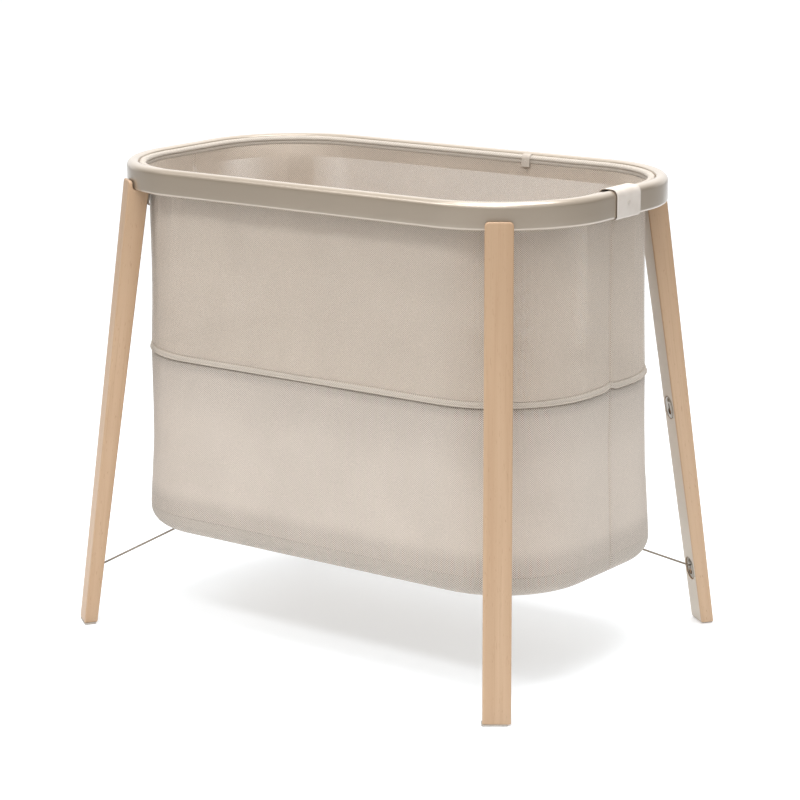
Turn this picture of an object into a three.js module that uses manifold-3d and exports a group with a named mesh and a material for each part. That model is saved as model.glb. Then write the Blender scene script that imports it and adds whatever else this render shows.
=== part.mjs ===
// Bassinet on a four-legged stand: a hung mesh crib whose base rides at two heights.
// Units are millimetres, +Z is up and the origin is on the floor under the middle of the crib.
// +X runs along the crib towards the end with the rim strap; -Y is the front.
import * as THREE from 'three';
import { mergeVertices } from 'three/addons/utils/BufferGeometryUtils.js';
import Module from 'manifold-3d';

const wasm = await Module();
wasm.setup();

// ---------------------------------------------------------------- driving dimensions
const GAP = 0.3;                     // clearance kept between pieces that touch

// rim, measured on its outer face
const RIM_HALF_LENGTH = 448;
const RIM_HALF_WIDTH = 251;
const RIM_CORNER_RADIUS = 188;
const RIM_BOTTOM = 726;
const RIM_CREST = 768.5;
const RIM_SPLIT = 1;                 // gap where the bent profile's two ends meet
const CORNER_STEPS = 8;              // facets in each rounded corner

// legs: middle of the outer face, for the leg at +X +Y
const LEG_TOP = new THREE.Vector3(370, 221.7, 740.7);
const LEG_FOOT = new THREE.Vector3(422.2, 312.1, 0);
const LEG_FACING = THREE.MathUtils.degToRad(54.25);   // outward direction, from +X
const LEG_WIDTH = 43;
const LEG_DEPTH_TOP = 35.3;
const LEG_DEPTH_FOOT = 21.7;
const LEG_EDGE_RADIUS = 2.5;
const TONGUE_CORNER_RADIUS = 5;
const TONGUE_CLEARANCE = 1.2;        // air between a leg's tongue and the rim
const GLIDE_THICKNESS = 3;
const GLIDE_MARGIN = 1.2;

// fabric
const WALL_INSET = 28;               // wall behind the rim's outer face
const WALL_THICKNESS = 4;
const WALL_TOP = 752;
const WALL_RELIEF = 17;              // how far tension draws the rounded corners in
const SEAM_BOTTOM = 452;
const SEAM_TOP = 461.5;
const SEAM_PROUD = 2.5;
const BASE_BOTTOM = 155;
const TRAY_RADIUS = 30;
const TRAY_RELIEF = 8;
const BOARD_THICKNESS = 8;
const MATTRESS_TOP = 197.3;
const COVER_THICKNESS = 1.2;

// cords and the keyhole plates that hold them
const PLATE_HEIGHTS = { lower: 93, upper: 371 };
const PLATE_WIDTH = 30;
const PLATE_LENGTH = 37;
const PLATE_THICKNESS = 1.6;
const PLATE_SINK = 1.8;              // the plate's back below the leg's inner face
const RECESS_MARGIN = 1.1;           // round a plate, in the leg
const PLATE_SCREW_RISE = 12.5;
const KEYHOLE_DROP = 6.5;            // centre of the round hole below the plate's middle
const KEYHOLE_RADIUS = 5.5;
const KEYHOLE_SLOT_WIDTH = 3.6;
const CORD_RISE = 4;                 // the cord's place in the slot above the plate's middle
const CORD_RADIUS = 1.2;
const STOPPER_RADIUS = 3.7;
const STOPPER_REACH = 7.8;           // its centre beyond the leg's inner face, along the cord
const POCKET_RADIUS = 5.6;
const POCKET_DEPTH = 12.5;
const ANCHOR = new THREE.Vector3(318, 180, 151.8);
const ANCHOR_RADIUS = 10;
const ANCHOR_HEIGHT = 5.6;
const ANCHOR_STEM_RADIUS = 3;

// rim strap and the small inner tab
const STRAP_WIDTH = 66;
const STRAP_THICKNESS = 1.3;
const TAB_X = 113;
const TAB_WIDTH = 14;

const CORNERS = [
  { name: 'front_right', sx: 1, sy: -1 },
  { name: 'front_left', sx: -1, sy: -1 },
  { name: 'rear_right', sx: 1, sy: 1 },
  { name: 'rear_left', sx: -1, sy: 1 },
];

// ---------------------------------------------------------------- materials
const finish = (color, roughness, metalness = 0) =>
  new THREE.MeshStandardMaterial({ color, roughness, metalness });
const WOOD = finish('#d9b88f', 0.55);
const RIM_METAL = finish('#a39585', 0.38, 0.5);
const STEEL = finish('#b9b7b2', 0.3, 0.9);
const DARK_PLASTIC = finish('#6f6558', 0.6);
const MESH_FABRIC = finish('#c9beb0', 0.9);
const PLAIN_FABRIC = finish('#e2dbd2', 0.85);
const CORD_FABRIC = finish('#b3a899', 0.85);
const BOARD_PLASTIC = finish('#e6e2db', 0.6);
const FOAM = finish('#f1eee6', 0.95);

// ---------------------------------------------------------------- closed surfaces
function geometryFrom(positions, triangles) {
  let volume = 0;
  const [a, b, c] = [new THREE.Vector3(), new THREE.Vector3(), new THREE.Vector3()];
  for (const [i, j, k] of triangles) {
    volume += a.copy(positions[i]).dot(b.copy(positions[j]).cross(c.copy(positions[k])));
  }
  const outward = volume < 0 ? triangles.map(([i, j, k]) => [i, k, j]) : triangles;
  const geometry = new THREE.BufferGeometry();
  geometry.setAttribute('position', new THREE.Float32BufferAttribute(positions.flatMap((p) => p.toArray()), 3));
  geometry.setIndex(outward.flat());
  return geometry;
}

// Joins loops of equal length, one after another. With a cap outline the two ends are closed by
// it, and without one the last loop joins the first.
function skin(loops, cap) {
  const count = loops[0].length;
  const positions = loops.flat();
  const triangles = [];
  const joins = cap ? loops.length - 1 : loops.length;
  for (let row = 0; row < joins; row += 1) {
    const next = (row + 1) % loops.length;
    for (let i = 0; i < count; i += 1) {
      const j = (i + 1) % count;
      triangles.push([row * count + i, next * count + i, next * count + j]);
      triangles.push([row * count + i, next * count + j, row * count + j]);
    }
  }
  if (cap) {
    const last = (loops.length - 1) * count;
    const turning = THREE.ShapeUtils.area(cap);
    for (const [i, j, k] of THREE.ShapeUtils.triangulateShape(cap, [])) {
      const alike = THREE.ShapeUtils.area([cap[i], cap[j], cap[k]]) * turning > 0;
      const [m, n] = alike ? [j, k] : [k, j];
      triangles.push([i, m, n]);
      triangles.push([last + i, last + n, last + m]);
    }
  }
  return geometryFrom(positions, triangles);
}

function toSolid(geometry) {
  const bare = geometry.clone();
  bare.deleteAttribute('normal');
  bare.deleteAttribute('uv');
  const merged = mergeVertices(bare, 1e-4);
  return new wasm.Manifold(new wasm.Mesh({
    numProp: 3,
    vertProperties: new Float32Array(merged.attributes.position.array),
    triVerts: new Uint32Array(merged.index.array),
  }));
}

function toGeometry(solid) {
  const mesh = solid.getMesh();
  const geometry = new THREE.BufferGeometry();
  geometry.setAttribute('position', new THREE.BufferAttribute(new Float32Array(mesh.vertProperties), 3));
  geometry.setIndex(Array.from(mesh.triVerts));
  return geometry;
}

const join = (...geometries) =>
  toGeometry(geometries.map(toSolid).reduce((whole, piece) => whole.add(piece)));
const cut = (geometry, ...tools) =>
  toGeometry(tools.map(toSolid).reduce((whole, tool) => whole.subtract(tool), toSolid(geometry)));

function mirrored(geometry, { sx, sy }) {
  const copy = geometry.clone().applyMatrix4(new THREE.Matrix4().makeScale(sx, sy, 1));
  if (sx * sy > 0) return copy;
  const source = copy.index ? Array.from(copy.index.array) : [...Array(copy.attributes.position.count).keys()];
  const flipped = [];
  for (let i = 0; i < source.length; i += 3) flipped.push(source[i], source[i + 2], source[i + 1]);
  copy.setIndex(flipped);
  return copy;
}

// ---------------------------------------------------------------- the crib's outline
// Points on the rim's outer face with their outward normals, from +X anticlockwise. A split
// outline starts and ends beside the middle of the +X end.
function rimOutline(split = 0) {
  const straightX = RIM_HALF_LENGTH - RIM_CORNER_RADIUS;
  const straightY = RIM_HALF_WIDTH - RIM_CORNER_RADIUS;
  const quadrants = [[1, 1], [-1, 1], [-1, -1], [1, -1]];
  const points = [];
  quadrants.forEach(([sx, sy], quadrant) => {
    for (let step = 0; step <= CORNER_STEPS; step += 1) {
      const angle = (quadrant + step / CORNER_STEPS) * (Math.PI / 2);
      const [nx, ny] = [Math.cos(angle), Math.sin(angle)];
      points.push({
        x: sx * straightX + RIM_CORNER_RADIUS * nx,
        y: sy * straightY + RIM_CORNER_RADIUS * ny,
        nx,
        ny,
      });
    }
  });
  if (!split) return points;
  const beside = (y) => ({ x: RIM_HALF_LENGTH, y, nx: 1, ny: 0 });
  return [beside(split / 2), ...points, beside(-split / 2)];
}

// A profile point is [inset, height, relief]. Relief draws the rounded corners in and leaves
// the straight sides where they are.
function place(frame, [inset, height, relief = 0]) {
  const drawn = inset + relief * (Math.abs(frame.nx) + Math.abs(frame.ny) - 1);
  return new THREE.Vector3(frame.x - frame.nx * drawn, frame.y - frame.ny * drawn, height);
}

// A profile carried round the outline: rim, hems and walls.
function ring(profile, split = 0) {
  const loops = rimOutline(split).map((frame) => profile.map((point) => place(frame, point)));
  return skin(loops, split ? profile.map(([inset, height]) => new THREE.Vector2(inset, height)) : null);
}

// Outlines stacked on each other and closed at both ends: board, tray and mattress.
function stack(profile) {
  const outline = rimOutline();
  const loops = profile.map((point) => outline.map((frame) => place(frame, point)));
  return skin(loops, outline.map(({ x, y }) => new THREE.Vector2(x, y)));
}

const arc = (centreInset, centreHeight, radius, fromDegrees, toDegrees, steps) =>
  Array.from({ length: steps + 1 }, (_, i) => {
    const angle = THREE.MathUtils.degToRad(fromDegrees + ((toDegrees - fromDegrees) * i) / steps);
    return [centreInset + radius * Math.cos(angle), centreHeight + radius * Math.sin(angle)];
  });

const withRelief = (points, relief) => points.map(([inset, height]) => [inset, height, relief]);

// ---------------------------------------------------------------- rim
// Bent channel: flat outer face, rounded top, a rounded lower lip turned in, and a lower step
// on top of the inner side that the fabric hem sits on.
const RIM_PROFILE = [
  ...arc(5, RIM_BOTTOM + 5, 5, 270, 180, 3),
  ...arc(9, RIM_CREST - 9, 9, 180, 110, 3),
  [13.6, RIM_CREST],
  [18.6, RIM_CREST - 0.9],
  [19.2, RIM_CREST - 4],
  [24, RIM_CREST - 6],
  [26.2, RIM_CREST - 9],
  [27, RIM_CREST - 12.5],
  [27, RIM_BOTTOM + 14],
  [24.5, RIM_BOTTOM + 14],
  [24.5, RIM_CREST - 11.5],
  [19, RIM_CREST - 7.5],
  [7, RIM_CREST - 4.5],
  [3, RIM_CREST - 9.5],
  [3, RIM_BOTTOM + 6],
  [5.5, RIM_BOTTOM + 3],
  [8, RIM_BOTTOM + 3],
  [8, RIM_BOTTOM],
];

// Flat bar inside the channel, across the split at the +X end.
function rimJointSleeve() {
  const section = [
    [3 + GAP, RIM_BOTTOM + 7],
    [3 + GAP, RIM_CREST - 11],
    [7, RIM_CREST - 6],
    [18.5, RIM_CREST - 8.5],
    [24.5 - GAP, RIM_CREST - 12.5],
    [24.5 - GAP, RIM_BOTTOM + 15],
    [12, RIM_BOTTOM + 7],
  ];
  const halfLength = 52;
  const loops = [-halfLength, halfLength].map((y) =>
    section.map(([inset, height]) => new THREE.Vector3(RIM_HALF_LENGTH - inset, y, height)));
  return skin(loops, section.map(([inset, height]) => new THREE.Vector2(inset, height)));
}

// ---------------------------------------------------------------- fabric round the rim
const HEM_OUTSIDE = [
  [19.6, RIM_CREST - 1.4],
  [22, RIM_CREST - 0.3],
  [25.5, RIM_CREST - 0.9],
  [28.8, RIM_CREST - 3.8],
  [30.6, RIM_CREST - 8.5],
  [31, RIM_CREST - 13],
];
const HEM_PROFILE = [
  ...HEM_OUTSIDE,
  [30.8, WALL_TOP + GAP],
  [27 + GAP, WALL_TOP + GAP],
  [27 + GAP, RIM_CREST - 12.4],
  [26.5, RIM_CREST - 8.7],
  [24.2, RIM_CREST - 5.6],
  [19.6, RIM_CREST - 3.7],
];

// The strap hugs the rim from just under its lower lip, over the top and the hem, to the wall.
function rimStrap() {
  const path = [
    [4.5, RIM_BOTTOM - 0.8],
    [1.2, RIM_BOTTOM + 0.2],
    [-0.5, RIM_BOTTOM + 3.6],
    [-0.5, RIM_CREST - 9.5],
    [0.2, RIM_CREST - 5.2],
    [2.4, RIM_CREST - 2],
    [5.7, RIM_CREST],
    [13.6, RIM_CREST + 0.6],
    [22, RIM_CREST + 0.5],
    [26.2, RIM_CREST - 0.4],
    [29.6, RIM_CREST - 3.4],
    [31.4, RIM_CREST - 8.4],
    [31.7, RIM_CREST - 15],
  ].map(([inset, height]) => new THREE.Vector2(inset, height));
  const outer = path.map((point, i) => {
    const along = path[Math.min(i + 1, path.length - 1)].clone().sub(path[Math.max(i - 1, 0)]).normalize();
    return new THREE.Vector2(point.x - along.y * STRAP_THICKNESS, point.y + along.x * STRAP_THICKNESS);
  });
  const section = [...path, ...outer.reverse()];
  const loops = [-STRAP_WIDTH / 2, STRAP_WIDTH / 2].map((y) =>
    section.map((point) => new THREE.Vector3(RIM_HALF_LENGTH - point.x, y, point.y)));
  return skin(loops, section);
}

function strapSnap() {
  const face = RIM_HALF_LENGTH + 0.5 + STRAP_THICKNESS + GAP;
  return new THREE.CylinderGeometry(4, 4.4, 0.8, 20)
    .rotateZ(-Math.PI / 2)
    .translate(face + 0.4, 0, RIM_BOTTOM + 22);
}

// Folded tab that hangs over the hem on the inside of the rear rim.
function innerTab() {
  const path = [
    [21.5, RIM_CREST + 0.4],
    [25.6, RIM_CREST - 0.3],
    [29.3, RIM_CREST - 3.3],
    [31.1, RIM_CREST - 8.4],
    [31.6, RIM_CREST - 13],
    [32.8, RIM_CREST - 22],
  ].map(([inset, height]) => new THREE.Vector2(inset, height));
  const outer = path.map(({ x, y }, i) => new THREE.Vector2(x + (i < 2 ? 0.8 : 1.4), y + (i < 3 ? 1.2 : 0)));
  const section = [...path, ...outer.reverse()];
  const loops = [TAB_X - TAB_WIDTH / 2, TAB_X + TAB_WIDTH / 2].map((x) =>
    section.map((point) => new THREE.Vector3(x, RIM_HALF_WIDTH - point.x, point.y)));
  return skin(loops, section);
}

function tabSnap() {
  return new THREE.CylinderGeometry(3.4, 3.4, 1.2, 18)
    .translate(TAB_X, RIM_HALF_WIDTH - 34.6, RIM_CREST - 13.5);
}

// ---------------------------------------------------------------- hung mesh walls
const upperWallOutside = [
  [WALL_INSET, WALL_TOP, 0],
  [WALL_INSET, RIM_BOTTOM + 3, WALL_RELIEF - 3],
  [WALL_INSET, RIM_BOTTOM - 26, WALL_RELIEF],
  [WALL_INSET, SEAM_TOP + GAP, TRAY_RELIEF],
];
const lowerWallOutside = [
  [WALL_INSET, SEAM_BOTTOM - GAP, TRAY_RELIEF],
  [WALL_INSET, BASE_BOTTOM + TRAY_RADIUS + 3 + GAP, TRAY_RELIEF],
];
const thickened = (outside, thickness) => [
  ...outside,
  ...outside.map(([inset, height, relief]) => [inset + thickness, height, relief]).reverse(),
];
const seamBand = withRelief([
  [WALL_INSET + WALL_THICKNESS, SEAM_BOTTOM],
  [WALL_INSET - SEAM_PROUD + 1, SEAM_BOTTOM],
  [WALL_INSET - SEAM_PROUD, SEAM_BOTTOM + 3],
  [WALL_INSET - SEAM_PROUD, SEAM_TOP - 4],
  [WALL_INSET - SEAM_PROUD + 1.4, SEAM_TOP],
  [WALL_INSET + WALL_THICKNESS, SEAM_TOP],
], TRAY_RELIEF);

// ---------------------------------------------------------------- base
// Dished fabric underside of the crib, with its edge rounded up to meet the lower wall.
function baseTray() {
  const rimHeight = BASE_BOTTOM + TRAY_RADIUS;
  const inner = TRAY_RADIUS - WALL_THICKNESS;
  const profile = [
    ...arc(WALL_INSET + TRAY_RADIUS, rimHeight, inner, 270, 180, 5),
    [WALL_INSET + WALL_THICKNESS, rimHeight + 3],
    [WALL_INSET, rimHeight + 3],
    ...arc(WALL_INSET + TRAY_RADIUS, rimHeight, TRAY_RADIUS, 180, 270, 5),
  ];
  return cut(stack(withRelief(profile, TRAY_RELIEF)), ...stemHoles());
}

function baseBoard() {
  const bottom = BASE_BOTTOM + WALL_THICKNESS + GAP;
  const profile = [
    [55.5, bottom + 0.1],
    [48, bottom + 2.3],
    [42, bottom + 5.7],
    [41, bottom + BOARD_THICKNESS],
  ];
  return cut(stack(withRelief(profile, TRAY_RELIEF)), ...stemHoles());
}

const MATTRESS_BOTTOM = BASE_BOTTOM + WALL_THICKNESS + BOARD_THICKNESS + 2 * GAP;
const MATTRESS_EDGE = [
  [44, MATTRESS_BOTTOM],
  [38.5, MATTRESS_BOTTOM + 3.3],
  [36, MATTRESS_BOTTOM + 9.3],
  [35.5, MATTRESS_BOTTOM + 17],
  [36, MATTRESS_TOP - 5.3],
  [39, MATTRESS_TOP - 1.3],
  [44, MATTRESS_TOP],
];
const shrunk = (amount) => MATTRESS_EDGE.map(([inset, height]) => {
  const middle = (MATTRESS_BOTTOM + MATTRESS_TOP) / 2;
  const half = (MATTRESS_TOP - MATTRESS_BOTTOM) / 2;
  return [inset + amount, middle + ((height - middle) * (half - amount)) / half];
});

// Fitted cover: it is turned in under the foam and open beneath.
function mattressCover() {
  const turnIn = 60;
  const profile = [
    ...shrunk(COVER_THICKNESS).reverse(),
    [turnIn, MATTRESS_BOTTOM + COVER_THICKNESS],
    [turnIn, MATTRESS_BOTTOM],
    ...MATTRESS_EDGE,
  ];
  return stack(withRelief(profile, TRAY_RELIEF));
}

const mattressFoam = () => stack(withRelief(shrunk(COVER_THICKNESS + GAP), TRAY_RELIEF));

// ---------------------------------------------------------------- legs
const outward = new THREE.Vector3(Math.cos(LEG_FACING), Math.sin(LEG_FACING), 0);
const across = new THREE.Vector3(-Math.sin(LEG_FACING), Math.cos(LEG_FACING), 0);
const legOuter = (height) => LEG_FOOT.clone().lerp(LEG_TOP, height / LEG_TOP.z);
const legDepth = (height) => THREE.MathUtils.lerp(LEG_DEPTH_FOOT, LEG_DEPTH_TOP, height / LEG_TOP.z);
const legInner = (height) => legOuter(height).addScaledVector(outward, -legDepth(height));

// Axes of a leg's inner face: across it, up along it, and out of the wood towards the crib.
const innerUp = legInner(600).sub(legInner(0)).normalize();
const innerOut = new THREE.Vector3().crossVectors(innerUp, across).normalize();
const innerAcross = new THREE.Vector3().crossVectors(innerUp, innerOut).normalize();
if (innerOut.dot(outward) > 0) {
  innerOut.negate();
  innerAcross.negate();
}
const faceMatrix = (height) =>
  new THREE.Matrix4().makeBasis(innerAcross, innerUp, innerOut).setPosition(legInner(height));
const onFace = (geometry, height) => {
  const placed = geometry.clone().applyMatrix4(faceMatrix(height));
  return toGeometry(toSolid(placed));
};

function roundedSection(height, width, depth, trim = 0) {
  const centre = legOuter(height).addScaledVector(outward, -legDepth(height) / 2);
  const [halfWidth, halfDepth] = [width / 2 - trim, depth / 2];
  const signs = [[1, 1], [-1, 1], [-1, -1], [1, -1]];
  return signs.flatMap(([sx, sy], corner) => [0, 1, 2].map((step) => {
    const angle = (corner + step / 2) * (Math.PI / 2);
    const u = sx * (halfWidth - LEG_EDGE_RADIUS) + LEG_EDGE_RADIUS * Math.cos(angle);
    const v = sy * (halfDepth - LEG_EDGE_RADIUS) + LEG_EDGE_RADIUS * Math.sin(angle);
    return centre.clone().addScaledVector(across, u).addScaledVector(outward, v);
  }));
}

const sectionCap = (loop) => loop.map((point) => new THREE.Vector2(point.dot(across), point.dot(outward)));

function legBlank() {
  const heights = [GLIDE_THICKNESS + GAP, LEG_TOP.z - TONGUE_CORNER_RADIUS];
  const loops = heights.map((height) => roundedSection(height, LEG_WIDTH, legDepth(height)));
  [30, 60, 90].forEach((degrees) => {
    const angle = THREE.MathUtils.degToRad(degrees);
    const height = LEG_TOP.z - TONGUE_CORNER_RADIUS * (1 - Math.sin(angle));
    const trim = TONGUE_CORNER_RADIUS * (1 - Math.cos(angle));
    loops.push(roundedSection(height, LEG_WIDTH, legDepth(height), trim));
  });
  return skin(loops, sectionCap(loops[0]));
}

// The space the rim takes out of a leg: the leg's shoulder is under it and its tongue outside it.
function rimSeat() {
  const out = -TONGUE_CLEARANCE;
  const fillet = 6;
  const bottom = RIM_BOTTOM - 0.8;
  return stack([[fillet + out, bottom], [1.8 + out, bottom + 1.8], [out, bottom + fillet], [out, RIM_CREST + 40]]);
}

// Bracket in millimetres on the leg's horizontal axes, from the middle of the shoulder.
const shoulder = legInner(RIM_BOTTOM).addScaledVector(outward, legDepth(RIM_BOTTOM) / 2);
function legBox(width, depth, height, centreIn, bottom) {
  const box = new THREE.BoxGeometry(width, depth, height);
  const axes = new THREE.Matrix4().makeBasis(across.clone().negate(), outward, new THREE.Vector3(0, 0, 1));
  const centre = shoulder.clone().addScaledVector(outward, -centreIn).setZ(bottom + height / 2);
  return toGeometry(toSolid(box.applyMatrix4(axes.setPosition(centre))));
}

const BRACKET_WIDTH = 30;
const BRACKET_TOP = RIM_BOTTOM - 0.8;
const BRACKET_FACE = 3;
const BRACKET_DROP = 27;
function bracketPlate(margin) {
  const box = new THREE.BoxGeometry(BRACKET_WIDTH + 2 * margin, BRACKET_DROP, BRACKET_FACE);
  return onFace(box.translate(0, -BRACKET_DROP / 2, BRACKET_FACE / 2 + GAP), BRACKET_TOP);
}
const bracketStem = (margin) =>
  legBox(18 + 2 * margin, 9 + 2 * margin, 26 + margin, 2.7, BRACKET_TOP - 26 - margin);
const bracketWeb = (margin) =>
  legBox(BRACKET_WIDTH + 2 * margin, 20 + 2 * margin, 6 + margin, 9.5, BRACKET_TOP - 6 - margin);
const bracketTenon = (margin) =>
  legBox(BRACKET_WIDTH + 2 * margin, 11 + 2 * margin, 27, 6, BRACKET_TOP - 2 - margin);

const SCREW_DROP = 16;
function screw(headRadius, headHeight, shankRadius, length, headBase) {
  const head = new THREE.CylinderGeometry(headRadius * 0.75, headRadius, headHeight, 12)
    .rotateX(Math.PI / 2).translate(0, 0, headBase + headHeight / 2);
  const shank = new THREE.CylinderGeometry(shankRadius, shankRadius, length, 8)
    .rotateX(Math.PI / 2).translate(0, 0, headBase + 0.1 - length / 2);
  const recess = new THREE.CylinderGeometry(headRadius * 0.36, headRadius * 0.36, headHeight, 6)
    .rotateX(Math.PI / 2).translate(0, 0, headBase + headHeight * 0.95);
  return cut(join(head, shank), recess);
}
const bore = (radius, from, to) => new THREE.CylinderGeometry(radius, radius, to - from, 12)
  .rotateX(Math.PI / 2).translate(0, 0, (from + to) / 2);
const BRACKET_SCREW = { shank: 2.2, length: 15, head: 4.2 };
const PLATE_SCREW = { shank: 1.7, length: 12, head: 3.6 };

function bracket() {
  const body = join(bracketPlate(0), bracketWeb(0), bracketStem(0), bracketTenon(0));
  const hole = onFace(bore(BRACKET_SCREW.shank + GAP, -40, 10).translate(0, -SCREW_DROP, 0), BRACKET_TOP);
  return cut(body, hole);
}

const bracketScrew = () => onFace(
  screw(BRACKET_SCREW.head, 2, BRACKET_SCREW.shank, BRACKET_SCREW.length, BRACKET_FACE + 2 * GAP)
    .translate(0, -SCREW_DROP, 0),
  BRACKET_TOP,
);

// ---------------------------------------------------------------- keyhole plates
function stadium(radius, halfSpan, steps = 6) {
  return [0, 1].flatMap((end) => Array.from({ length: steps + 1 }, (_, i) => {
    const angle = Math.PI * (end + i / steps);
    return new THREE.Vector2(radius * Math.cos(angle), radius * Math.sin(angle) + (end ? -halfSpan : halfSpan));
  }));
}

const prism = (outline, from, to) => skin(
  [from, to].map((z) => outline.map(({ x, y }) => new THREE.Vector3(x, y, z))),
  outline,
);

const plateOutline = (margin) =>
  stadium(PLATE_WIDTH / 2 + margin, (PLATE_LENGTH - PLATE_WIDTH) / 2, 10);

function keyholePlate() {
  const blank = prism(plateOutline(0), -PLATE_SINK, PLATE_THICKNESS - PLATE_SINK);
  const hole = bore(KEYHOLE_RADIUS, -5, 10).translate(0, -KEYHOLE_DROP, 0);
  const slotTop = CORD_RISE + 1;
  const halfSpan = (slotTop + KEYHOLE_DROP) / 2;
  const slot = prism(stadium(KEYHOLE_SLOT_WIDTH / 2, halfSpan, 3), -5, 10).translate(0, slotTop - halfSpan, 0);
  const screwHole = bore(PLATE_SCREW.shank + GAP, -5, 10).translate(0, PLATE_SCREW_RISE, 0);
  return cut(blank, hole, slot, screwHole);
}

const plateScrew = () =>
  screw(PLATE_SCREW.head, 1.4, PLATE_SCREW.shank, PLATE_SCREW.length, PLATE_THICKNESS - PLATE_SINK + GAP)
    .translate(0, PLATE_SCREW_RISE, 0);

const recess = () => prism(plateOutline(RECESS_MARGIN), -PLATE_SINK - GAP, 5);
const pocket = () => prism(stadium(POCKET_RADIUS, 6.5), -POCKET_DEPTH, 5).translate(0, -1, 0);

function leg() {
  const tools = [rimSeat(), bracketWeb(GAP), bracketStem(GAP), bracketTenon(GAP)];
  tools.push(onFace(
    bore(BRACKET_SCREW.shank + GAP, -BRACKET_SCREW.length + 2, 5).translate(0, -SCREW_DROP, 0),
    BRACKET_TOP,
  ));
  for (const height of Object.values(PLATE_HEIGHTS)) {
    tools.push(onFace(recess(), height), onFace(pocket(), height));
    const screwBore = bore(PLATE_SCREW.shank + GAP, -PLATE_SCREW.length, 5).translate(0, PLATE_SCREW_RISE, 0);
    tools.push(onFace(screwBore, height));
  }
  return cut(legBlank(), ...tools);
}

function glide() {
  const shape = (height, margin) =>
    roundedSection(height, LEG_WIDTH - 2 * margin, legDepth(0) - 2 * margin);
  const loops = [shape(0, GLIDE_MARGIN + 0.8), shape(1, GLIDE_MARGIN), shape(GLIDE_THICKNESS, GLIDE_MARGIN)];
  return skin(loops, sectionCap(loops[0]));
}

// ---------------------------------------------------------------- cords
const cordHold = legInner(PLATE_HEIGHTS.lower).addScaledVector(innerUp, CORD_RISE);
const cordWay = cordHold.clone().sub(ANCHOR).normalize();
const stopper = cordHold.clone().addScaledVector(cordWay, STOPPER_REACH);
const along = (from, to, radius, sides) => {
  const length = from.distanceTo(to);
  const turn = new THREE.Quaternion().setFromUnitVectors(new THREE.Vector3(0, 1, 0), to.clone().sub(from).normalize());
  const middle = from.clone().lerp(to, 0.5);
  return new THREE.CylinderGeometry(radius, radius, length, sides).applyQuaternion(turn)
    .translate(middle.x, middle.y, middle.z);
};

function cord() {
  const start = ANCHOR.clone().addScaledVector(cordWay, 3);
  const line = along(start, stopper, CORD_RADIUS, 8);
  const ball = new THREE.SphereGeometry(STOPPER_RADIUS, 8, 6).translate(stopper.x, stopper.y, stopper.z);
  return join(line, ball);
}

function cordAnchor() {
  const top = BASE_BOTTOM - GAP;
  const puck = new THREE.CylinderGeometry(ANCHOR_RADIUS, ANCHOR_RADIUS - 1, ANCHOR_HEIGHT, 16)
    .rotateX(Math.PI / 2).translate(ANCHOR.x, ANCHOR.y, top - ANCHOR_HEIGHT / 2);
  const stemTop = BASE_BOTTOM + WALL_THICKNESS + BOARD_THICKNESS - 1;
  const stem = new THREE.CylinderGeometry(ANCHOR_STEM_RADIUS, ANCHOR_STEM_RADIUS, stemTop - top + 2, 10)
    .rotateX(Math.PI / 2).translate(ANCHOR.x, ANCHOR.y, (stemTop + top - 2) / 2);
  const mouth = ANCHOR.clone().addScaledVector(cordWay, 30);
  const hole = along(ANCHOR.clone().addScaledVector(cordWay, 2.5), mouth, CORD_RADIUS + 0.5, 8);
  return cut(join(puck, stem), hole);
}

function stemHoles() {
  const hole = new THREE.CylinderGeometry(ANCHOR_STEM_RADIUS + GAP, ANCHOR_STEM_RADIUS + GAP, 60, 10)
    .rotateX(Math.PI / 2).translate(ANCHOR.x, ANCHOR.y, BASE_BOTTOM);
  return CORNERS.map((corner) => mirrored(hole, corner));
}

// ---------------------------------------------------------------- assembly
const bassinet = new THREE.Group();
const stand = new THREE.Group();
const base = new THREE.Group();
bassinet.add(stand, base);

function add(group, name, geometry, material) {
  geometry.computeVertexNormals();
  const mesh = new THREE.Mesh(geometry, material);
  mesh.name = name;
  group.add(mesh);
}

add(stand, 'rim', ring(RIM_PROFILE, RIM_SPLIT), RIM_METAL);
add(stand, 'rim_joint_sleeve', rimJointSleeve(), STEEL);
add(stand, 'rim_strap', rimStrap(), PLAIN_FABRIC);
add(stand, 'strap_snap', strapSnap(), DARK_PLASTIC);
add(stand, 'rim_hem', ring(HEM_PROFILE), MESH_FABRIC);
add(stand, 'inner_tab', innerTab(), PLAIN_FABRIC);
add(stand, 'tab_snap', tabSnap(), STEEL);
add(stand, 'upper_mesh_wall', ring(thickened(upperWallOutside, WALL_THICKNESS)), MESH_FABRIC);
add(stand, 'mid_seam_band', ring(seamBand), MESH_FABRIC);
add(stand, 'lower_mesh_wall', ring(thickened(lowerWallOutside, WALL_THICKNESS)), MESH_FABRIC);

add(base, 'base_tray', baseTray(), MESH_FABRIC);
add(base, 'base_board', baseBoard(), BOARD_PLASTIC);
add(base, 'mattress_foam', mattressFoam(), FOAM);
add(base, 'mattress_cover', mattressCover(), PLAIN_FABRIC);

const perCorner = [
  [stand, 'leg', leg(), WOOD],
  [stand, 'foot_glide', glide(), DARK_PLASTIC],
  [stand, 'leg_bracket', bracket(), DARK_PLASTIC],
  [stand, 'bracket_screw', bracketScrew(), STEEL],
  [base, 'cord_anchor', cordAnchor(), DARK_PLASTIC],
  [base, 'cord', cord(), CORD_FABRIC],
];
for (const [level, height] of Object.entries(PLATE_HEIGHTS)) {
  perCorner.push([stand, `${level}_keyhole_plate`, onFace(keyholePlate(), height), STEEL]);
  perCorner.push([stand, `${level}_plate_screw`, onFace(plateScrew(), height), STEEL]);
}
for (const corner of CORNERS) {
  for (const [group, name, geometry, material] of perCorner) {
    add(group, `${name}_${corner.name}`, mirrored(geometry, corner), material);
  }
}

export default bassinet;
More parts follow.
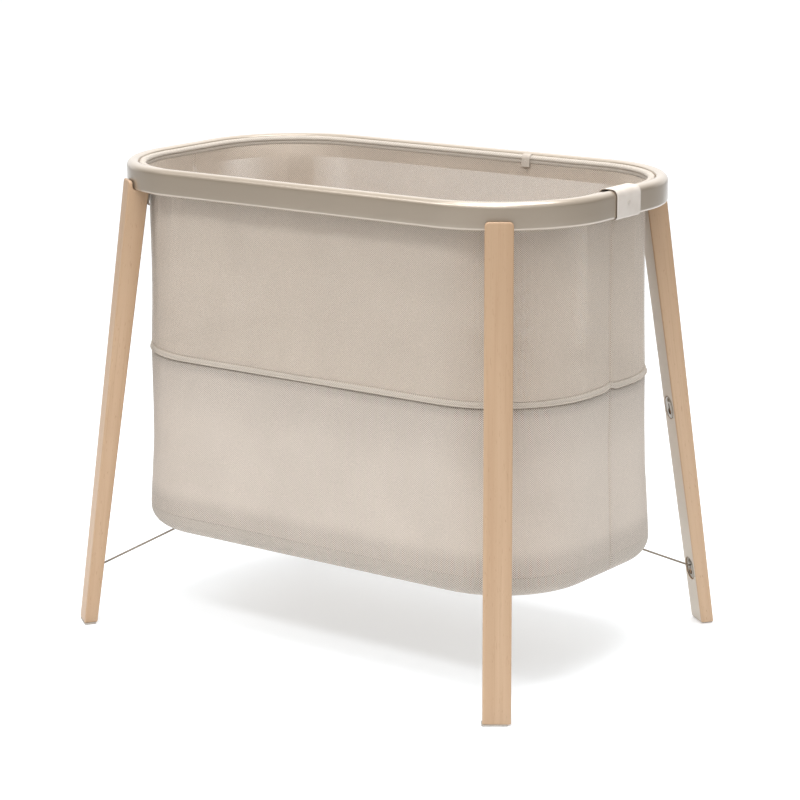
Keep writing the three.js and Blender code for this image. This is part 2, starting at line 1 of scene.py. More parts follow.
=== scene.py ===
"""Bassinet on a four-legged stand: the looks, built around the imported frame.

The frame is in metres, +Z up, with its origin on the floor under the middle of the crib. Profiles
are given in millimetres, as [inset from the rim's outer face, height, relief], where relief draws
the rounded corners in and leaves the straight sides where they are.
"""

import math

import bmesh
import bpy
import numpy as np
from mathutils import Matrix, Vector


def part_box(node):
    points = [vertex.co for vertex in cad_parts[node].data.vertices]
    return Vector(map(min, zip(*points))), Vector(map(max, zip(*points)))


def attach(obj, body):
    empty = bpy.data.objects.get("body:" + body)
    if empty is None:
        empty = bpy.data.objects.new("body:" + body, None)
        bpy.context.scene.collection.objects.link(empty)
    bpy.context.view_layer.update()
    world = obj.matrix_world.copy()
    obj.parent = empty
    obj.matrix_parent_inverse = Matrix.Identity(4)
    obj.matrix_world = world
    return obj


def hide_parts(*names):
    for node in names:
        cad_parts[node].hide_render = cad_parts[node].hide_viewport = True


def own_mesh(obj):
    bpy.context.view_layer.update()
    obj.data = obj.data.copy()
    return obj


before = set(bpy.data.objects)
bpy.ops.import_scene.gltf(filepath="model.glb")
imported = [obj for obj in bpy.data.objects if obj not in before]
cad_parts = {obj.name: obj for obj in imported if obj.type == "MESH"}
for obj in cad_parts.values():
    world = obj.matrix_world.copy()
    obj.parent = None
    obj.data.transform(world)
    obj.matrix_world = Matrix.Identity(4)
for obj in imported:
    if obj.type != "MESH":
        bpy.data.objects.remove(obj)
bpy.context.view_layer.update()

MM = 0.001
STEP = 7  # mm between sections round the outline

# ------------ driving dimensions, in mm
CORNER_RADIUS = 188
RIM_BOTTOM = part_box("rim")[0].z / MM
RIM_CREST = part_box("rim")[1].z / MM
HALF_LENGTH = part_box("rim")[1].x / MM
HALF_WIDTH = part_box("rim")[1].y / MM
RIM_GAP = 1.0  # between the rim's two ends, under the strap

SKIN = 3.0  # the spacer mesh's thickness, from face to face
SEAM_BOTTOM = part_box("mid_seam_band")[0].z / MM
SEAM_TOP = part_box("mid_seam_band")[1].z / MM
SEAM_MIDDLE = (SEAM_BOTTOM + SEAM_TOP) / 2
TRAY_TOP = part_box("base_tray")[1].z / MM
TRAY_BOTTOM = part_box("base_tray")[0].z / MM
WALL_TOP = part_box("upper_mesh_wall")[1].z / MM

LEG_TOP = Vector((370, 221.7, 740.7))
LEG_FOOT = Vector((422.2, 312.1, 0))
LEG_FACING = math.radians(54.25)
LEG_WIDTH = 43
LEG_DEPTH_TOP = 35.3
LEG_DEPTH_FOOT = 21.7
PLATE_HEIGHTS = {"lower": 93, "upper": 371}
CORNERS = {"front_right": (1, -1), "front_left": (-1, -1), "rear_right": (1, 1), "rear_left": (-1, 1)}


# ------------ camera
def camera():
    azimuth, elevation, roll = (math.radians(a) for a in (37.26, 13.69, -0.54))
    target = Vector((0, 0, 0.374))
    distance = 4.2344
    back = Vector((
        math.sin(azimuth) * math.cos(elevation),
        -math.cos(azimuth) * math.cos(elevation),
        math.sin(elevation),
    ))
    level = Vector((math.cos(azimuth), math.sin(azimuth), 0))
    upright = back.cross(level)
    right = level * math.cos(roll) + upright * math.sin(roll)
    up = upright * math.cos(roll) - level * math.sin(roll)
    data = bpy.data.cameras.new("camera")
    data.lens = 116.16
    data.sensor_width = 36
    data.shift_x = 0.009
    data.shift_y = 0.0038
    made = bpy.data.objects.new("camera", data)
    bpy.context.collection.objects.link(made)
    turn = Matrix((right, up, back)).transposed().to_4x4()
    made.matrix_world = Matrix.Translation(target + back * distance) @ turn
    bpy.context.scene.camera = made


# ------------ shaders
def tone(red, green, blue):
    """A display colour, 0 to 255, as linear light."""
    shares = [c / 255 for c in (red, green, blue)]
    return tuple(c / 12.92 if c < 0.04045 else ((c + 0.055) / 1.055) ** 2.4 for c in shares) + (1,)


def darker(colour):
    return tuple(c * 0.95 for c in colour[:3]) + (1,)


class Shader:
    """A material built a node at a time."""

    def __init__(self, name):
        self.material = bpy.data.materials.new(name)
        self.material.use_nodes = True
        self.tree = self.material.node_tree
        self.tree.nodes.clear()

    def node(self, kind, inputs=None, **settings):
        made = self.tree.nodes.new("ShaderNode" + kind)
        for key, value in settings.items():
            setattr(made, key, value)
        for key, value in (inputs or {}).items():
            if isinstance(value, bpy.types.NodeSocket):
                self.tree.links.new(value, made.inputs[key])
            else:
                made.inputs[key].default_value = value
        return made

    def maths(self, operation, *values):
        return self.node("Math", dict(enumerate(values)), operation=operation).outputs[0]

    def times(self, *values):
        return self.maths("MULTIPLY", *values)

    def plus(self, *values):
        return self.maths("ADD", *values)

    def minus(self, *values):
        return self.maths("SUBTRACT", *values)

    def vector(self, operation, *values):
        made = self.node("VectorMath", dict(enumerate(values)), operation=operation)
        return made.outputs["Value" if operation in ("LENGTH", "DOT_PRODUCT") else "Vector"]

    def parts(self, vector):
        return self.node("SeparateXYZ", {0: vector}).outputs

    def remap(self, value, low, high, to_low=0.0, to_high=1.0):
        inputs = {"Value": value, "From Min": low, "From Max": high, "To Min": to_low, "To Max": to_high}
        return self.node("MapRange", inputs, interpolation_type="SMOOTHSTEP").outputs["Result"]

    def noise(self, place, scale, detail=2.0, roughness=0.5):
        inputs = {"Vector": place, "Scale": scale, "Detail": detail, "Roughness": roughness}
        return self.node("TexNoise", inputs).outputs["Fac"]

    def mix(self, share, first, second):
        return self.node("Mix", {0: share, 6: first, 7: second}, data_type="RGBA").outputs[2]

    def blend(self, value, first, second, low=0.3, high=0.7):
        """From the first colour to the second, as value goes from low to high."""
        return self.mix(self.remap(value, low, high), first, second)

    def bump(self, height, distance, strength=1.0):
        inputs = {"Height": height, "Distance": distance, "Strength": strength}
        return self.node("Bump", inputs).outputs["Normal"]

    def place(self, scale=(1, 1, 1)):
        return self.vector("MULTIPLY", self.node("TexCoord").outputs["Object"], scale)

    def finish(self, **inputs):
        words = {key.replace("_", " "): value for key, value in inputs.items()}
        surface = self.node("BsdfPrincipled", words)
        output = self.node("OutputMaterial")
        self.tree.links.new(surface.outputs[0], output.inputs["Surface"])
        return self.material


MESH_PITCH = (0.0036, 0.0032)  # along the crib's outline and up it
HOLE_RADIUS = 0.0008
# painted shade that fills the mesh's holes
HOLE_SHADE = (0.02, 0.017, 0.013, 1)


def spacer_mesh(name, colour, openness, hollow=0.2, bands=()):
    """Knitted mesh with staggered holes, on the UV map that runs along the cloth in metres.
    hollow is the painted shade in the holes, and bands are (from, to, strength): stretches up
    the cloth over which more painted shade darkens its holes."""
    s = Shader(name)
    weave = s.node("UVMap", uv_map="weave").outputs["UV"]

    def hole_distance(shift):
        along, up = MESH_PITCH
        cells = s.vector("MULTIPLY_ADD", weave, (1 / along, 1 / up, 0), (shift, shift, 0))
        spot = s.vector("FRACTION", cells)
        centred = s.vector("MULTIPLY_ADD", spot, (along, up, 0), (-along / 2, -up / 2, 0))
        return s.vector("LENGTH", centred)

    distance = s.maths("MINIMUM", hole_distance(0.0), hole_distance(0.5))
    hole = s.remap(distance, HOLE_RADIUS * 0.7, HOLE_RADIUS * 1.3, 1.0, 0.0)
    rib = s.remap(distance, HOLE_RADIUS * 0.6, HOLE_RADIUS * 2.1)
    cloudy = s.noise(s.place(), 9.0, 3.0)
    yarn = s.noise(s.place(), 900.0, 2.0)
    shaded = s.blend(cloudy, darker(colour), colour)
    worn = s.blend(yarn, s.mix(0.14, shaded, (0, 0, 0, 1)), shaded)
    # painted shade: the holes' colour is drawn towards HOLE_SHADE, by hollow and more over the bands
    depth = hollow
    up = s.parts(weave)["Y"]
    for start, end, strength in bands:
        depth = s.plus(depth, s.remap(up, start, end, 0.0, strength))
    deep = s.mix(s.times(hole, depth), worn, HOLE_SHADE)
    return s.finish(
        Base_Color=deep,
        Roughness=s.remap(yarn, 0.2, 0.8, 0.78, 0.95),
        Alpha=s.minus(1.0, s.times(hole, openness)),
        Sheen_Weight=0.12,
        Sheen_Roughness=0.5,
        Normal=s.bump(rib, 0.0006, 0.5),
    )


def beech():
    """Oiled beech, with painted shade that darkens it towards the leg's top, under the rim. Its grain runs
    up the leg, and each leg has its own.
    """
    s = Shader("beech_wood")
    own = s.vector("MULTIPLY", s.node("ObjectInfo").outputs["Location"], (3.1, 5.3, 7.7))
    grain = s.vector("ADD", s.node("TexCoord").outputs["Object"], own)
    broad = s.noise(s.vector("MULTIPLY", grain, (34, 34, 1.1)), 1.0, 3.0, 0.55)
    fine = s.noise(s.vector("MULTIPLY", grain, (420, 420, 5.0)), 1.0, 3.0, 0.6)
    ray = s.noise(s.vector("MULTIPLY", grain, (520, 900, 95)), 1.0, 1.0)
    flecks = s.remap(ray, 0.66, 0.76)
    base = s.mix(s.remap(broad, 0.32, 0.7), tone(202, 171, 140), tone(190, 157, 125))
    streaked = s.mix(s.times(s.remap(fine, 0.5, 0.78), 0.45), base, tone(177, 143, 110))
    flecked = s.mix(s.times(flecks, 0.4), streaked, tone(158, 120, 86))
    # painted shade: the wood turns a darker brown up the upper half of the leg
    height = s.parts(s.place())["Z"]
    painted_top_shade = s.mix(s.remap(height, 0.0, 0.37, 0.0, 0.38), flecked, tone(170, 138, 107))
    return s.finish(
        Base_Color=painted_top_shade,
        Roughness=s.remap(fine, 0.3, 0.8, 0.44, 0.56),
        Coat_Weight=0.08,
        Coat_Roughness=0.4,
        Normal=s.bump(s.minus(fine, s.times(flecks, 0.3)), 0.00012, 0.5),
    )


def lacquer(name, colour, metallic, roughness, grain=0.00002, coat=0.0):
    """Satin paint: a little unevenness in the tone, a faint orange peel and, at will, a clear coat."""
    s = Shader(name)
    cloudy = s.noise(s.place(), 6.0, 2.0)
    peel = s.noise(s.place(), 1400.0, 2.0)
    return s.finish(
        Base_Color=s.blend(cloudy, darker(colour), colour, 0.35, 0.65),
        Metallic=metallic,
        Roughness=s.remap(peel, 0.3, 0.7, roughness * 0.93, roughness * 1.07),
        Coat_Weight=coat,
        Coat_Roughness=0.28,
        Coat_IOR=2.1,
        Normal=s.bump(peel, grain, 0.5),
    )


def brushed_steel():
    s = Shader("brushed_steel")
    lines = s.noise(s.place((1, 1, 60)), 120.0, 3.0, 0.6)
    return s.finish(
        Base_Color=s.blend(lines, tone(136, 128, 117), tone(158, 150, 139)),
        Metallic=1.0,
        Roughness=s.remap(lines, 0.3, 0.7, 0.26, 0.4),
        Normal=s.bump(lines, 0.00003, 0.4),
    )


def coated_fabric(name, deep, pale):
    s = Shader(name)
    pebble = s.node("TexVoronoi", {"Vector": s.place(), "Scale": 1300.0}).outputs["Distance"]
    cloudy = s.noise(s.place(), 30.0, 2.0)
    return s.finish(
        Base_Color=s.blend(cloudy, deep, pale),
        Roughness=s.remap(cloudy, 0.3, 0.7, 0.55, 0.66),
        Normal=s.bump(pebble, 0.00012, 0.5),
    )


def cotton():
    """Fine plain-woven cotton, with the yarns' colour a little uneven."""
    s = Shader("mattress_cotton")
    yarns = s.parts(s.place((2400, 2400, 2400)))
    warp, weft, across = (s.maths("SINE", yarns[axis]) for axis in "XYZ")
    weave = s.plus(s.times(warp, weft), across)
    cloudy = s.noise(s.place(), 14.0, 4.0)
    slub = s.noise(s.place((40, 400, 400)), 1.0, 2.0)
    tint = s.blend(cloudy, tone(222, 216, 207), tone(236, 231, 224))
    return s.finish(
        Base_Color=s.mix(s.times(s.remap(slub, 0.55, 0.8), 0.3), tint, tone(204, 196, 185)),
        Roughness=0.9,
        Sheen_Weight=0.2,
        Normal=s.bump(weave, 0.00015, 0.45),
    )


def foam():
    s = Shader("open_foam")
    cells = s.node("TexVoronoi", {"Vector": s.place(), "Scale": 700.0}).outputs["Distance"]
    return s.finish(
        # painted shade: the pits of the open cells are coloured darker
        Base_Color=s.mix(s.remap(cells, 0.0, 0.6), tone(214, 207, 192), tone(240, 236, 226)),
        Roughness=0.95,
        Normal=s.bump(cells, 0.0006, 0.7),
    )


def felt():
    s = Shader("grey_felt")
    fibres = s.noise(s.place((900, 900, 300)), 1.0, 4.0, 0.7)
    return s.finish(
        Base_Color=s.blend(fibres, tone(158, 150, 140), tone(196, 189, 180)),
        Roughness=0.95,
        Normal=s.bump(fibres, 0.0003, 0.7),
    )


def braid():
    """Strands wound both ways round the cord, on a UV map that counts plaits round and along it."""
    s = Shader("braided_cord")
    plaits = s.parts(s.node("UVMap", uv_map="weave").outputs["UV"])
    round_it, along_it = plaits["X"], plaits["Y"]
    left = s.maths("SINE", s.times(s.plus(round_it, along_it), math.tau))
    right = s.maths("SINE", s.times(s.minus(round_it, along_it), math.tau))
    strands = s.maths("MAXIMUM", left, right)
    return s.finish(
        # painted shade: the grooves between the strands are coloured darker
        Base_Color=s.mix(s.remap(strands, -0.4, 1.0), tone(112, 100, 86), tone(164, 151, 136)),
        Roughness=0.85,
        Normal=s.bump(strands, 0.00025, 0.8),
    )


# ------------ skins over rows of points
def grid(name, points, around=False, closed=False, along=None, across=None):
    """A closed mesh over rows of points. around joins the last row to the first, closed does the
    same along each row, and open ends are filled. along and across are the weave's coordinates."""
    rows, columns = points.shape[:2]
    i, j = np.meshgrid(np.arange(rows - (not around)), np.arange(columns - (not closed)), indexing="ij")
    i, j = i.ravel(), j.ravel()
    i2, j2 = (i + 1) % rows, (j + 1) % columns
    faces = np.stack([i * columns + j, i2 * columns + j, i2 * columns + j2, i * columns + j2], 1)
    mesh = bpy.data.meshes.new(name)
    mesh.from_pydata(points.reshape(-1, 3).tolist(), [], faces.tolist())
    if along is not None:
        near, far = along[i], along[i + 1]
        first, second = (near, across[i, j]), (far, across[i + 1, j])
        third, fourth = (far, across[i + 1, j + 1]), (near, across[i, j + 1])
        corners = np.stack([*first, *second, *third, *fourth], 1)
        mesh.uv_layers.new(name="weave").data.foreach_set("uv", corners.ravel())
    return finished(mesh)


def finished(mesh, degrees=38):
    """Fills open ends, turns the faces outward and shades the mesh smooth up to an angle."""
    work = bmesh.new()
    work.from_mesh(mesh)
    bmesh.ops.holes_fill(work, edges=[edge for edge in work.edges if edge.is_boundary], sides=0)
    bmesh.ops.recalc_face_normals(work, faces=work.faces)
    work.to_mesh(mesh)
    work.free()
    mesh.polygons.foreach_set("use_smooth", np.ones(len(mesh.polygons), bool))
    mesh.set_sharp_from_angle(angle=math.radians(degrees))
    mesh.update()
    return mesh


def thing(name, mesh, place=Matrix.Identity(4)):
    made = bpy.data.objects.new(name, mesh)
    bpy.context.collection.objects.link(made)
    made.matrix_world = place
    return made


def piece(name, mesh, body, material, slot, *nodes, place=Matrix.Identity(4)):
    """A finished piece: what it is made of, the body it rides on and the CAD nodes it stands for."""
    made = thing(name, mesh, place)
    mesh.materials.clear()
    mesh.materials.append(material)
    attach(made, body)
    if nodes:
        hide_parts(*nodes)
    return made


def carved(mesh, *cutters):
    """The mesh less the cutters, which are closed meshes."""
    work = thing("work", mesh)
    tools = [thing("tool", cutter) for cutter in cutters]
    for tool in tools:
        cut = work.modifiers.new("cut", "BOOLEAN")
        cut.operation = "DIFFERENCE"
        cut.solver = "EXACT"
        cut.object = tool
    graph = bpy.context.evaluated_depsgraph_get()
    made = bpy.data.meshes.new_from_object(work.evaluated_get(graph))
    for used in [work, *tools]:
        bpy.data.objects.remove(used)
    return made


# ------------ the crib's outline
STRAIGHT_X = HALF_LENGTH - CORNER_RADIUS
STRAIGHT_Y = HALF_WIDTH - CORNER_RADIUS
ARC = CORNER_RADIUS * math.pi / 2
QUARTER = STRAIGHT_X + STRAIGHT_Y + ARC
PERIMETER = 4 * QUARTER


def outline(s):
    """Points on the rim's outer face and their normals, at arc lengths s anticlockwise from +X."""
    s = np.mod(s, PERIMETER)
    quadrant = np.minimum(s // QUARTER, 3).astype(int)
    t = s - quadrant * QUARTER
    t = np.where(quadrant % 2 == 1, QUARTER - t, t)
    angle = np.clip((t - STRAIGHT_Y) / CORNER_RADIUS, 0, math.pi / 2)
    x = STRAIGHT_X + CORNER_RADIUS * np.cos(angle) - np.maximum(t - STRAIGHT_Y - ARC, 0)
    y = np.minimum(t, STRAIGHT_Y) + CORNER_RADIUS * np.sin(angle)
    sign_x = np.array([1, -1, -1, 1])[quadrant]
    sign_y = np.array([1, 1, -1, -1])[quadrant]
    return sign_x * x, sign_y * y, sign_x * np.cos(angle), sign_y * np.sin(angle)


def placed(s, profile):
    """Profile points at each station, in metres. profile is [points, 3] or [stations, points, 3]."""
    x, y, nx, ny = (part[:, None] for part in outline(s))
    inset, height, relief = np.moveaxis(np.broadcast_to(profile, (len(s), *profile.shape[-2:])), -1, 0)
    drawn = inset + relief * (np.abs(nx) + np.abs(ny) - 1)
    return np.stack([x - nx * drawn, y - ny * drawn, height], -1) * MM


def stations(step, seams=True):
    """Arc lengths round the outline, closer together at the two end seams."""
    plain = np.linspace(0, PERIMETER, round(PERIMETER / step), endpoint=False)
    if not seams:
        return plain
    reach = 14
    near = np.array([
        -12, -9, -6, -4, -2.4, -1.4, -0.7, 0, 0.7, 1.4, 2.4, 3.6, 4.6, 5.3, 6, 6.7, 7.4, 8.4, 10, 12,
    ])
    off = np.abs((plain + PERIMETER / 4) % (PERIMETER / 2) - PERIMETER / 4)
    kept = plain[off > reach]
    return np.sort(np.concatenate([kept, near % PERIMETER, near + PERIMETER / 2]))


def all_round(s, profile):
    """The same section at every station, to be worked on from there."""
    return np.broadcast_to(profile, (len(s), *profile.shape)).copy()


def from_seam(s):
    """Signed distance to the nearer end seam, along the outline."""
    return (s + PERIMETER / 4) % (PERIMETER / 2) - PERIMETER / 4


def arc(centre_inset, centre_height, radius, start, end, steps):
    angles = np.radians(np.linspace(start, end, steps + 1))
    return [[centre_inset + radius * math.cos(a), centre_height + radius * math.sin(a)] for a in angles]


def at(level, points):
    """Profile points, their heights counted from a level."""
    return [[inset, level + height] for inset, height in points]


def profiled(points, relief=0.0):
    points = np.array(points, float)
    return np.column_stack([points, np.full(len(points), relief)]) if points.shape[1] == 2 else points


def weave_of(points, profile_run, around):
    """Weave coordinates: metres along the cloth, in whole cells where it closes, and metres across."""
    middle = points[:, points.shape[1] // 3]
    ahead = np.roll(middle, -1, 0) if around else middle[1:]
    steps = np.linalg.norm(ahead - middle[: len(ahead)], axis=1)
    along = np.concatenate([[0], np.cumsum(steps)])
    if around:
        along *= round(along[-1] / MESH_PITCH[0]) * MESH_PITCH[0] / along[-1]
    across = np.broadcast_to(profile_run, (len(along), len(profile_run)))
    return along, across


def swept(name, profile, s, around=True):
    """A closed profile carried round the outline, with the weave running along it."""
    points = placed(s, profile)
    one = points[0]
    ring = np.vstack([one, one[:1]])
    run = np.concatenate([[0], np.cumsum(np.linalg.norm(np.diff(ring, axis=0), axis=1))])
    along, across = weave_of(points, run, around)
    return grid(name, points, around, True, along, across)


# ------------ rim, hem, strap and tab
def rim():
    """Bent channel with a flat outer face, rounded above and below, in two ends that almost meet."""
    top, low = RIM_CREST, RIM_BOTTOM
    profile = profiled([
        *arc(4.5, low + 4.5, 4.5, 270, 180, 9),
        [0, low + 12], [0, low + 22],
        *arc(10.5, top - 10.5, 10.5, 180, 98, 14),
        *at(top, [[10.6, 0], [11.4, -0.1], [13.6, -0.5], [15.6, -1.2], [17.2, -2.1]]),
        *arc(17.2, top - 3.8, 1.4, 60, 0, 3),
        *at(top, [[19.0, -5.6], [20.4, -7.6], [22.4, -8.6], [24.6, -9.2], [26.2, -10.2]]),
        *at(low, [[27, 14.6], [26.6, 14], [24.9, 14], [24.5, 14.6]]),
        *at(top, [[24.5, -12], [19, -9.5], [7, -4.5], [3, -9.5]]),
        *at(low, [[3, 6], [4, 3.8], [6.2, 3], [7.6, 2.6], [8, 1.5], [7.6, 0.4]]),
    ])
    s = np.linspace(RIM_GAP / 2, PERIMETER - RIM_GAP / 2, round(PERIMETER / STEP))
    return swept("rim_profile", profile, s, around=False)


def hem():
    """The cloth's roll on the inner side of the rim, with a stitched line at its foot."""
    profile = profiled([
        *at(WALL_TOP, [[27.3, 0.3], [30.6, 0.3], [31.0, 0.9], [31.1, 3.0]]),
        *at(RIM_CREST, [
            [31.0, -11.6], [30.4, -11.0], [30.6, -10.4], [31.4, -9.8], [31.8, -8.6], [31.6, -7.0],
            [30.8, -5.4], [29.4, -4.2], [27.4, -3.4], [25.2, -3.2], [23.2, -3.5], [21.6, -4.3],
            [20.8, -5.4], [21.0, -6.6], [24.6, -8.4], [26.6, -9.6], [27.3, -12.4],
        ]),
    ][::-1])
    return swept("hem_roll", profile, stations(STEP))


def banded(path, centre, depth):
    """Section of a band laid along a path: its middle this far off the path, and its thickness."""
    ahead = np.gradient(path, axis=0)
    out = np.column_stack([-ahead[:, 1], ahead[:, 0]]) / np.linalg.norm(ahead, axis=1)[:, None]
    inner, outer = path + out * (centre - depth / 2), path + out * (centre + depth / 2)
    return profiled(np.vstack([inner[::-1], outer]))


def strap():
    """Coated strap round the rim's joint. Its left edge stands off the rim and its sides are rounded."""
    path = np.array([
        *at(RIM_BOTTOM, [
            [4.8, -0.9], [2.6, -0.7], [0.9, 0.5], [-0.3, 2.2], [-0.6, 4.6], [-0.6, 14], [-0.6, 24],
        ]),
        *at(RIM_CREST, [
            [-0.6, -10], [-0.3, -7], [0.6, -4.4], [2.2, -2.1], [4.2, -0.7], [6.6, 0.2], [13.6, 0.5],
            [20, 0.5], [23.6, 0.1], [26.2, -0.9], [28.6, -2.4], [30.6, -4.4], [31.9, -7.4],
            [32.2, -11], [32.2, -15],
        ]),
    ])
    half, rounding = 33, 1.5
    sides = np.array([-33, -32.9, -32.5, -31.6, -30, -24, -16, -8, 0, 8, 16, 24, 30, 31.6, 32.5, 32.9, 33])
    edge = np.clip(1 - np.abs((np.abs(sides) - half + rounding) / rounding), 0, 1) ** 0.5
    thick = 0.35 + 0.95 * np.where(np.abs(sides) <= half - rounding, 1.0, edge)
    rise = 0.5 * np.clip((np.abs(sides) - 27) / 6, 0, 1) ** 2 * np.where(sides < 0, 1.6, 0.8)
    rows = [banded(path, 0.65 + lift, depth) for depth, lift in zip(thick, rise)]
    return swept("strap_band", np.array(rows), sides.astype(float), around=False)


def lathe(name, profile, sides=40, hexagon=0):
    """A turned shape on +Z from [radius, height] points. The first ones may be hexagonal."""
    turns = np.arange(sides) * math.tau / sides
    flat = 1 / np.cos((turns + math.pi / 6) % (math.pi / 3) - math.pi / 6) * math.cos(math.pi / 6)
    rows = []
    for index, (radius, height) in enumerate(profile):
        reach = radius * (flat if index < hexagon else 1.0)
        rows.append(np.stack([reach * np.cos(turns), reach * np.sin(turns), np.full(sides, height)], -1))
    return grid(name, np.array(rows) * MM, closed=True)


def snap_head(radius, height):
    cap = [[0.32, 0.6], [0.42, 0.98], [0.55, 1], [0.72, 0.96], [0.88, 0.8], [0.98, 0.4], [1, 0]]
    return lathe("snap", [[0.1, height * 0.55], *([radius * across, height * up] for across, up in cap)])


def towards(mesh, axis, place):
    """Turns a shape built on +Z to face along axis, at a place in mm."""
    turn = Vector((0, 0, 1)).rotation_difference(Vector(axis)).to_matrix().to_4x4()
    mesh.transform(Matrix.Translation(Vector(place) * MM) @ turn)
    return mesh


TAB_X = 113


def inner_tab():
    """Folded tab over the hem on the inside of the rear rim, its lower end rounded."""
    path = np.array(at(RIM_CREST, [
        [22.0, -2.9], [23.6, -2.6], [25.8, -2.5], [28, -2.9], [30.2, -4.3], [31.7, -6.6],
        [32.2, -10], [32.3, -14], [32.5, -18], [32.8, -22],
    ]))
    sides = np.array([-8, -7.9, -7.4, -6.4, -3, 0, 3, 6.4, 7.4, 7.9, 8])
    full = np.sqrt(1 - np.maximum(0, (np.abs(sides) - 6.4) / 1.6) ** 2)
    rows = [banded(path, 0.65 + 0.05 * share, 0.2 + share) for share in full]
    start = STRAIGHT_Y + ARC + STRAIGHT_X - TAB_X
    return swept("tab", np.array(rows), start + sides.astype(float), around=False)


# ------------ mesh walls
def seam_rise(s, height):
    """How far the end seams pull the middle seam up."""
    near = np.exp(-((from_seam(s)[:, None] / 11) ** 2))
    return 5.0 * near * np.exp(-(((height - SEAM_MIDDLE) / 22) ** 2))


def seam_press(s):
    """The end seams' crease, and the folded allowance that stands proud beside it."""
    d = from_seam(s)[:, None]
    crease = 1.9 * np.exp(-((d / 1.1) ** 2))
    ridge = 0.9 / (1 + np.exp(-(d - 0.9) * 2.5)) / (1 + np.exp((d - 5.2) * 2.5))
    return crease - ridge + 1.3 * np.exp(-(((d - 6) / 0.9) ** 2))


def slack(s, height):
    """Soft unevenness of cloth under tension, and small gathers along the middle seam."""
    turn = s[:, None] * math.tau / PERIMETER
    broad = 0.7 * np.sin(5 * turn + 0.8) * np.sin(height / 61.0) + 0.5 * np.sin(11 * turn + height / 47.0)
    below = np.exp(-np.abs(height - SEAM_MIDDLE) / 16)
    gathers = 0.28 * below * np.sin(97 * turn + 1.5 * np.sin(13 * turn))
    return broad + gathers


def wall(name, heights, inset, relief, s):
    """Both faces of a wall of spacer mesh, joined at its edges. Outer face up, inner face down."""
    inset = inset + slack(s, heights) + seam_press(s)
    faces = []
    for order, depth in ((1, 0.0), (-1, SKIN)):
        height = heights + seam_rise(s, heights)
        layer = np.stack([inset + depth, height, np.broadcast_to(relief, inset.shape)], -1)
        faces.append(layer[:, ::order])
    points = placed(s, np.concatenate(faces, 1))
    run = np.concatenate([heights, heights[::-1] + MESH_PITCH[1] * 0.25 / MM, heights[:1]]) * MM
    along, across = weave_of(points, run, True)
    return grid(name, points, True, True, along, across)


def upper_wall():
    """Wall from the seam to the hem, drawn in a little at mid height."""
    heights = np.concatenate([
        SEAM_TOP + np.array([0.3, 1.2, 3, 6, 10, 16]),
        np.arange(490, 700, 14), np.arange(700, WALL_TOP, 5), [WALL_TOP],
    ])
    inset = 28 + 0.9 * np.exp(-(heights - SEAM_TOP) / 2.2)
    bow = 1.4 * np.sin(np.clip((heights - SEAM_TOP) / (WALL_TOP - SEAM_TOP), 0, 1) * math.pi)
    relief = np.interp(
        heights,
        [461, 500, 560, 640, 695, 712, 726, 736, 745, WALL_TOP],
        [8, 10, 13, 16, 17, 16.5, 14.8, 11.5, 6, 0],
    )
    return wall("mesh_upper", heights, (inset + bow)[None, :], relief, stations(STEP))


BASE_INSET = 24.8
BASE_RELIEF = -6


def lower_wall():
    """Wall from the base to the seam, hollow over the base and fuller at the corners below."""
    heights = np.concatenate([
        [TRAY_TOP + 0.3, TRAY_TOP + 6], np.arange(204, 436, 14),
        SEAM_BOTTOM - np.array([12, 8, 5, 3, 1.4, 0.3]),
    ])
    inset = np.interp(
        heights,
        [188, 215, 250, 300, 360, 420, 452],
        [BASE_INSET, 25.4, 26.6, 28.4, 29, 28.4, 27.8],
    )
    inset += 3.0 * np.exp((heights - SEAM_BOTTOM) / 1.5)
    relief = np.interp(heights, [188, 230, 300, 452], [BASE_RELIEF, -2, 4.5, 8])
    return wall("mesh_lower", heights, inset[None, :], relief, stations(STEP))


def seam_band():
    """Rolled seam: a fine line above, a lip below and a soft roll between them."""
    outer = [
        [29.6, 0], [27.6, 0], [26.2, 0.3], [25.3, 1.1], [25.2, 1.9], [25.8, 2.6], [26.6, 3.1],
        [26.5, 4.2], [26.8, 6], [27.3, 7.8], [28.1, 9], [29.6, 9.5],
    ]
    profile = profiled(at(SEAM_BOTTOM, [*outer, [31.9, 9.5], [31.9, 0]]), 8.0)
    s = stations(STEP)
    full = all_round(s, profile)
    gathers = 0.25 * np.sin(s * 97 * math.tau / PERIMETER)[:, None]
    full[:, :len(outer), 0] += seam_press(s) * 0.7 + gathers
    full[:, :, 1] += seam_rise(s, full[:, :, 1])
    return swept("rolled_seam", full, s)


def crease_shade_line(inset, height, radius):
    """Dark line sunk in the crease beside the rolled seam: a thin cord whose colour is painted shade along
    the crease.
    """
    s = stations(STEP)
    profile = profiled(arc(inset, height, radius, 0, 360, 8)[:-1], 8.0)
    full = all_round(s, profile)
    full[:, :, 0] += seam_press(s) * 0.7
    full[:, :, 1] += seam_rise(s, full[:, :, 1])
    return swept("shade_line", full, s)


def seam_allowance():
    """The cloth's turned-in edge behind the wall, under the rolled seam."""
    s = stations(STEP)
    heights = np.array([SEAM_BOTTOM - 1, SEAM_BOTTOM - 8, SEAM_BOTTOM - 16, SEAM_BOTTOM - 19])
    inset = np.array([32.6, 32.4, 32.2, 32.2])
    outer = np.column_stack([inset, heights])
    inner = np.column_stack([inset + 1.2, heights])[::-1]
    profile = profiled(np.vstack([outer, inner]), 7.6)
    full = all_round(s, profile)
    full[:, :, 0] += seam_press(s) * 0.7 + slack(s, full[0, :, 1])
    full[:, :, 1] += seam_rise(s, full[:, :, 1])
    full[:, 2:6, 1] += 1.2 * np.sin(s * 31 * math.tau / PERIMETER)[:, None]
    return swept("allowance", full, s)


# ------------ base
EDGE_RADIUS = 25
PANEL_INSET = BASE_INSET + EDGE_RADIUS + 12


